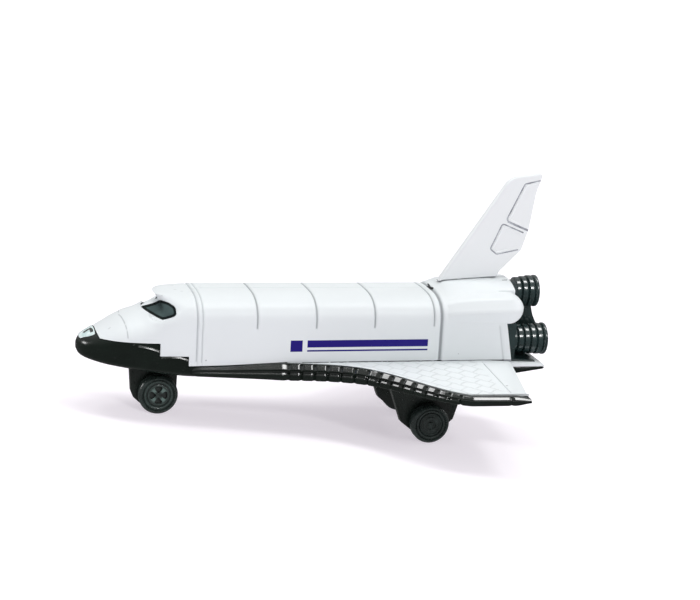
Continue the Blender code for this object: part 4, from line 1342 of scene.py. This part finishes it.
def bar_section(foot, height, push, tip):
    """Section of a bar from its inner foot round its outer face and back: depth in, height."""
    section = [(BAR_FOOT, foot), (1.0 + push * 0.5, foot)]
    for a in np.linspace(0, math.pi / 2, 8):
        section.append((0.5 - 0.5 * math.sin(a) + push, foot + 0.2 * height * (1 - math.cos(a))))
    size = height / BAR_HEIGHT
    top = foot + height
    for depth, below in BAR_FACE:
        if tip and below > BAR_LEDGE:
            depth = 0.0
        up = 1 - below / BAR_HEIGHT
        section.append((depth * size + push * (1.1 - up), top - below * size - 0.6 * push * up))
    inner = 0.97 * size
    section += [(inner + 0.08, top - 0.05), (inner + 0.2, top), (BAR_WIDTH - 0.08, top)]
    return section + [(BAR_WIDTH, top - 0.08), (BAR_WIDTH, WING_SPLIT - 0.05), (BAR_FOOT, WING_SPLIT - 0.05)]


def build_edge_bars():
    """Rounded leading-edge bars: smooth ahead, ribbed along the sweep, smooth again at the tip."""
    finish = moulded_black("edge bar black", "plastic", gloss=0.1, grain=0.006, shine=0.8)
    deep = bpy.context.scene.shuttle_relief.rib_depth / MM
    at, run = bar_path()
    first, last = (run[i] for i in BAR_RIBBED)
    pitch = (last - first) / BAR_RIBS
    places = list(np.arange(0.0, first - 0.4, 0.5))
    places += [first + pitch * (rib + share) for rib in range(BAR_RIBS) for share in np.arange(0, 1, 1 / 14)]
    places += list(np.arange(last, run[-1] + 0.6, 0.12))
    rows = []
    for s in places:
        here, there = at(s - 0.05), at(s + 0.05)
        x, y, top, low = (here + there) / 2
        x += max(0.0, s - run[-1])
        along = Vector((there[0] - here[0], there[1] - here[1]))
        along = along.normalized() if along.length > 1e-6 else Vector((1.0, 0.0))
        inward = Vector((along.y, -along.x))
        tip = s > last
        groove = 0.0
        if first - 0.5 < s < last + 0.5:
            away = (s - first) / pitch
            groove = float(ridge(away - round(away), 0.115))
        cut = tip * float(ridge(x - BAR_TIP_CUT, 0.22))
        taper = tip * float(rise(x, *BAR_TAPER))
        start = 1 - float(rise(s, -0.3, 0.9))
        foot = low + (top - low) * 0.3 * taper
        height = (top - low) * (1 - 0.55 * taper)
        section = bar_section(foot, height, deep * groove + 0.35 * cut + 0.6 * start, tip)
        rows.append([(*(Vector((x, y)) + inward * depth), z) for depth, z in section])
    for side, word in SIDES:
        form = Form().rings([[(x, side * y, z) for x, y, z in row] for row in rows])
        dress(raw_object(f"edge_bar_{word}", form), finish, sharp=24)


def keep_node(name, finish, width=0.0):
    """Gives a CAD node its finish, with its edges taken off where a width is given."""
    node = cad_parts[name]
    if node.material_slots:
        for slot in node.material_slots:
            slot.material = finish
    else:
        node.data.materials.append(finish)
    if width:
        round_edges(node, width, 3, 30)
    return node


def build_legs():
    """Gear legs with softened edges, raised rims and small moulded dots."""
    finish = moulded_black("leg black", "legs", gloss=0.2, grain=0.04, shine=0.8)
    for name in ("front_gear_leg", "rear_gear_leg_port", "rear_gear_leg_starboard"):
        keep_node(name, finish, 0.12)
    marks = Form()
    for side, _ in SIDES:
        out = Vector((0, side, 0))
        for x, z in FRONT_LEG_DOTS:
            marks.knob(Vector((x, side * FRONT_LEG_SIDE, z)), out, 0.17, 0.1)
        for flat, facing in ((REAR_LEG_SIDE, out), (REAR_LEG_INSIDE, -out)):
            for x, z in REAR_LEG_DOTS:
                marks.knob(Vector((x, side * flat, z)), facing, 0.16, 0.1)
        marks.bead([(Vector((x, side * (REAR_LEG_SIDE - 0.1), z)), out) for x, z in REAR_LEG_RIM], 0.3, 0.16)
    dress(raw_object("leg_mouldings", marks), finish)


def wheel_form(spoked):
    """A wheel turned about X, with its outer face at zero and its back inside."""
    rim, back, bore = WHEEL_RADIUS, -WHEEL_WIDTH, AXLE_RADIUS + AXLE_FIT
    profile = (SPOKED_HUB if spoked else RINGED_HUB) + TYRE + [
        (-0.55, rim), (back + 0.4, rim), (back + 0.25, 3.22), (back + 0.1, 3.12), (back, 2.95), (back, 1.2),
        (back + 0.2, 1.1), (back + 0.2, bore), (back + BORE_DEPTH, bore), (back + BORE_DEPTH, 0),
    ]
    return Form().turned(profile, 96)


def pocket_form():
    """Four rounded wedges that cut the pockets between a wheel's spokes."""
    form = Form()
    for quarter in range(4):
        turn = math.pi / 2 * quarter
        corners = [(r, turn + math.radians(a)) for r, a in POCKET]
        corners += [(r, turn - math.radians(a)) for r, a in POCKET[::-1]]
        soft = soft_outline([(0.0, r * math.cos(a), r * math.sin(a)) for r, a in corners], times=2)
        form.rings([[(depth, p.y, p.z) for p in soft] for depth in (-0.62, 0.5)])
    return form


def build_wheels():
    """Four wheels: spoked hubs in front, plain ringed hubs at the rear, on their steel axles."""
    steel = drawn_steel("axle steel")
    for word, middle, leg in (("front", FRONT_AXLE, FRONT_LEG_SIDE), ("rear", REAR_AXLE, REAR_LEG_SIDE)):
        keep_node(f"{word}_axle", steel)
        spoked = word == "front"
        outer = leg + WHEEL_GAP + WHEEL_WIDTH
        finish = wheel_finish(f"{word} wheel black", spoked)
        for side, hand in SIDES:
            wheel = raw_object(f"{word}_wheel_dressed_{hand}", wheel_form(spoked))
            if spoked:
                boolean(wheel, raw_object("pockets", pocket_form()), "DIFFERENCE")
            facing = Matrix.Rotation(side * math.pi / 2, 4, "Z")
            place = Matrix.Translation((middle + Vector((0, side * outer, 0))) * MM) @ facing
            name = f"{word}_wheel_{hand}"
            dress(wheel, finish, f"{word}_wheelset", (name,), place, sharp=45)


def nozzle_form(length, ribs):
    """A ribbed nozzle turned about its axis, hollow at its rear."""
    lip = length - LIP_LENGTH
    first = lip - ribs * RIB_PITCH
    profile = [(0.0, 0), (0.0, 1.8), (0.08, 1.9), (first - 0.12, 1.98)]
    for ring in range(ribs):
        start = first + ring * RIB_PITCH
        radius = 2.34 + 0.3 * ring / (ribs - 1)
        for u in np.linspace(0, 1, 15):
            swell = (1 - abs(2 * u - 1) ** 9) ** 0.5
            profile.append((start + u * RIB_PITCH * 0.8, radius - 0.26 + 0.26 * swell))
        profile.append((start + 0.9 * RIB_PITCH, radius - 0.3))
    profile.append((lip, 2.5))
    profile += [(length - ahead, radius) for ahead, radius in NOZZLE_LIP]
    profile += [(length - 0.12 - 3.28 * share, 2.34 - 1.24 * share ** 1.3) for share in (0.2, 0.4, 0.6, 0.8)]
    profile += [(length - ahead, radius) for ahead, radius in NOZZLE_THROAT]
    return Form().turned(profile, 80)


def build_engines():
    """Three ribbed nozzles on the engine mount."""
    finish = moulded_black("engine black", "engines", gloss=0.15, grain=0.008, shine=1.0)
    keep_node("engine_mount", finish, 0.1)
    web = raw_object("engine_web", Form().prism(ENGINE_WEB, -0.35, 0.35))
    dress(settle(round_edges(web, 0.1)), finish)
    for name, y, z, face, length, ribs in NOZZLES:
        place = Matrix.Translation(Vector((face + SEAM, y, z)) * MM)
        nozzle = raw_object(f"nozzle_{name}", nozzle_form(length, ribs))
        node = f"engine_nozzle_{name}"
        dress(nozzle, finish, replaces=(node,), place=place, sharp=50)


def even_light(name, towards, strength, width):
    """A far light as wide as given, from a direction."""
    lamp = bpy.data.lights.new(name, "SUN")
    lamp.energy = strength
    lamp.angle = width
    made = bpy.data.objects.new(name, lamp)
    made.rotation_euler = Vector(towards).to_track_quat("Z", "Y").to_euler()
    bpy.context.scene.collection.objects.link(made)


def build_stage():
    """Pale floor, soft lights, an even surround and the camera at the photograph's angle."""
    scene = bpy.context.scene
    studio = scene.shuttle_studio
    ground = Form()
    ground.corners = [(FLOOR_REACH * x, FLOOR_REACH * y, 0) for x, y in ((-1, -1), (1, -1), (1, 1), (-1, 1))]
    ground.faces = [(0, 1, 2, 3)]
    floor = raw_object("studio_floor", ground)
    floor.data.materials.append(studio_floor())
    floor.visible_glossy = False
    for name, towards, strength, width in LIGHTS:
        even_light(name, towards, strength * studio.lights, math.radians(width))
    scene.world = bpy.data.worlds.new("studio surround")
    scene.world.use_nodes = True
    surround = Shader(scene.world.node_tree)
    _, depth, height = surround.split(surround.node("ShaderNodeTexCoord", {}, {}, "Generated"))
    strength = studio.horizon + height.rise(0.0, 0.85) * (studio.zenith - studio.horizon)
    strength = strength + depth.rise(0.0, 0.6) * height.rise(-0.05, 0.1) * (studio.behind - studio.horizon)
    backdrop = scene.world.node_tree.nodes["Background"]
    surround.plug(backdrop.inputs["Color"], (1.0, 1.0, 1.0, 1.0))
    surround.plug(backdrop.inputs["Strength"], strength)
    scene.view_settings.view_transform = "Standard"
    scene.view_settings.look = "None"
    azimuth, elevation, roll = (math.radians(a) for a in (VIEW_AZIMUTH, VIEW_ELEVATION, VIEW_ROLL))
    right = Vector((math.cos(azimuth), math.sin(azimuth), 0.0))
    back = Vector((right.y, -right.x, 0.0)) * math.cos(elevation) + Vector((0.0, 0.0, math.sin(elevation)))
    up = back.cross(right)
    across = right * math.cos(roll) + up * math.sin(roll)
    above = up * math.cos(roll) - right * math.sin(roll)
    turn = Matrix((across, above, back)).transposed().to_4x4()
    place = Matrix.Translation((AIM + back * VIEW_DISTANCE) * MM)
    lens = bpy.data.cameras.new("photo_camera")
    lens.sensor_width = SENSOR
    lens.lens = SENSOR * FOCAL_PIXELS / PICTURE[0]
    lens.shift_x = (PICTURE[0] / 2 - AIM_PIXEL[0]) / PICTURE[0]
    lens.shift_y = (AIM_PIXEL[1] - PICTURE[1] / 2) / PICTURE[0]
    lens.clip_start = 0.01
    lens.clip_end = 60.0
    camera = bpy.data.objects.new("photo_camera", lens)
    camera.matrix_world = STANCE @ place @ turn
    scene.collection.objects.link(camera)
    scene.camera = camera


class SHUTTLE_OT_fuselage(bpy.types.Operator):
    """Build the white fuselage"""
    bl_idname = "toy_shuttle.fuselage"
    bl_label = "White fuselage"

    def execute(self, context):
        build_fuselage()
        return {"FINISHED"}


class SHUTTLE_OT_windows(bpy.types.Operator):
    """Build the cabin windows"""
    bl_idname = "toy_shuttle.windows"
    bl_label = "Cabin windows"

    def execute(self, context):
        build_windows()
        return {"FINISHED"}


class SHUTTLE_OT_pods(bpy.types.Operator):
    """Build the rear pods and the deck between them"""
    bl_idname = "toy_shuttle.pods"
    bl_label = "Rear pods"

    def execute(self, context):
        build_pods()
        return {"FINISHED"}


class SHUTTLE_OT_wings(bpy.types.Operator):
    """Build the tiled wing tops and the flap's top"""
    bl_idname = "toy_shuttle.wings"
    bl_label = "Wing tops"

    def execute(self, context):
        build_wings()
        return {"FINISHED"}


class SHUTTLE_OT_fin(bpy.types.Operator):
    """Build the tail fin and its panel lines"""
    bl_idname = "toy_shuttle.fin"
    bl_label = "Tail fin"

    def execute(self, context):
        build_fin()
        return {"FINISHED"}


class SHUTTLE_OT_base(bpy.types.Operator):
    """Build the black base with nose cap, belly and flap wedge"""
    bl_idname = "toy_shuttle.base"
    bl_label = "Black base"

    def execute(self, context):
        build_base()
        return {"FINISHED"}


class SHUTTLE_OT_edge_bars(bpy.types.Operator):
    """Build the ribbed leading-edge bars"""
    bl_idname = "toy_shuttle.edge_bars"
    bl_label = "Leading-edge bars"

    def execute(self, context):
        build_edge_bars()
        return {"FINISHED"}


class SHUTTLE_OT_legs(bpy.types.Operator):
    """Finish the gear legs"""
    bl_idname = "toy_shuttle.legs"
    bl_label = "Gear legs"

    def execute(self, context):
        build_legs()
        return {"FINISHED"}


class SHUTTLE_OT_wheels(bpy.types.Operator):
    """Build the four wheels and finish their axles"""
    bl_idname = "toy_shuttle.wheels"
    bl_label = "Wheels and axles"

    def execute(self, context):
        build_wheels()
        return {"FINISHED"}


class SHUTTLE_OT_engines(bpy.types.Operator):
    """Build the engine nozzles and finish their mount"""
    bl_idname = "toy_shuttle.engines"
    bl_label = "Engines"

    def execute(self, context):
        build_engines()
        return {"FINISHED"}


class SHUTTLE_OT_stage(bpy.types.Operator):
    """Build the floor, the lights and the camera"""
    bl_idname = "toy_shuttle.stage"
    bl_label = "Studio"

    def execute(self, context):
        build_stage()
        return {"FINISHED"}


class SHUTTLE_PT_panel(bpy.types.Panel):
    """Sidebar panel with the toy's settings and the operators that build it"""
    bl_idname = "SHUTTLE_PT_panel"
    bl_label = "Toy Shuttle"
    bl_space_type = "VIEW_3D"
    bl_region_type = "UI"
    bl_category = "Toy Shuttle"

    def draw(self, context):
        scene = context.scene
        for group in (scene.shuttle_paint, scene.shuttle_relief, scene.shuttle_studio):
            column = self.layout.column(align=True)
            for name in group.__annotations__:
                column.prop(group, name)
        column = self.layout.column(align=True)
        for operator in OPERATORS:
            column.operator(operator.bl_idname)


OPERATORS = (
    SHUTTLE_OT_fuselage,
    SHUTTLE_OT_windows,
    SHUTTLE_OT_pods,
    SHUTTLE_OT_wings,
    SHUTTLE_OT_fin,
    SHUTTLE_OT_base,
    SHUTTLE_OT_edge_bars,
    SHUTTLE_OT_legs,
    SHUTTLE_OT_wheels,
    SHUTTLE_OT_engines,
    SHUTTLE_OT_stage,
)
GROUPS = {
    "shuttle_paint": ShuttlePaint,
    "shuttle_relief": ShuttleRelief,
    "shuttle_studio": ShuttleStudio,
}


def register():
    """Registers the settings, the operators and the panel."""
    for name, group in GROUPS.items():
        bpy.utils.register_class(group)
        setattr(bpy.types.Scene, name, bpy.props.PointerProperty(type=group))
    for part in (*OPERATORS, SHUTTLE_PT_panel):
        bpy.utils.register_class(part)


def unregister():
    """Takes them away again."""
    for part in (SHUTTLE_PT_panel, *OPERATORS[::-1]):
        bpy.utils.unregister_class(part)
    for name, group in GROUPS.items():
        delattr(bpy.types.Scene, name)
        bpy.utils.unregister_class(group)


def main():
    """Builds the whole toy and its studio."""
    register()
    bpy.ops.toy_shuttle.fuselage()
    bpy.ops.toy_shuttle.windows()
    bpy.ops.toy_shuttle.pods()
    bpy.ops.toy_shuttle.wings()
    bpy.ops.toy_shuttle.fin()
    bpy.ops.toy_shuttle.base()
    bpy.ops.toy_shuttle.edge_bars()
    bpy.ops.toy_shuttle.legs()
    bpy.ops.toy_shuttle.wheels()
    bpy.ops.toy_shuttle.engines()
    bpy.ops.toy_shuttle.stage()


if __name__ == "__main__":
    main()
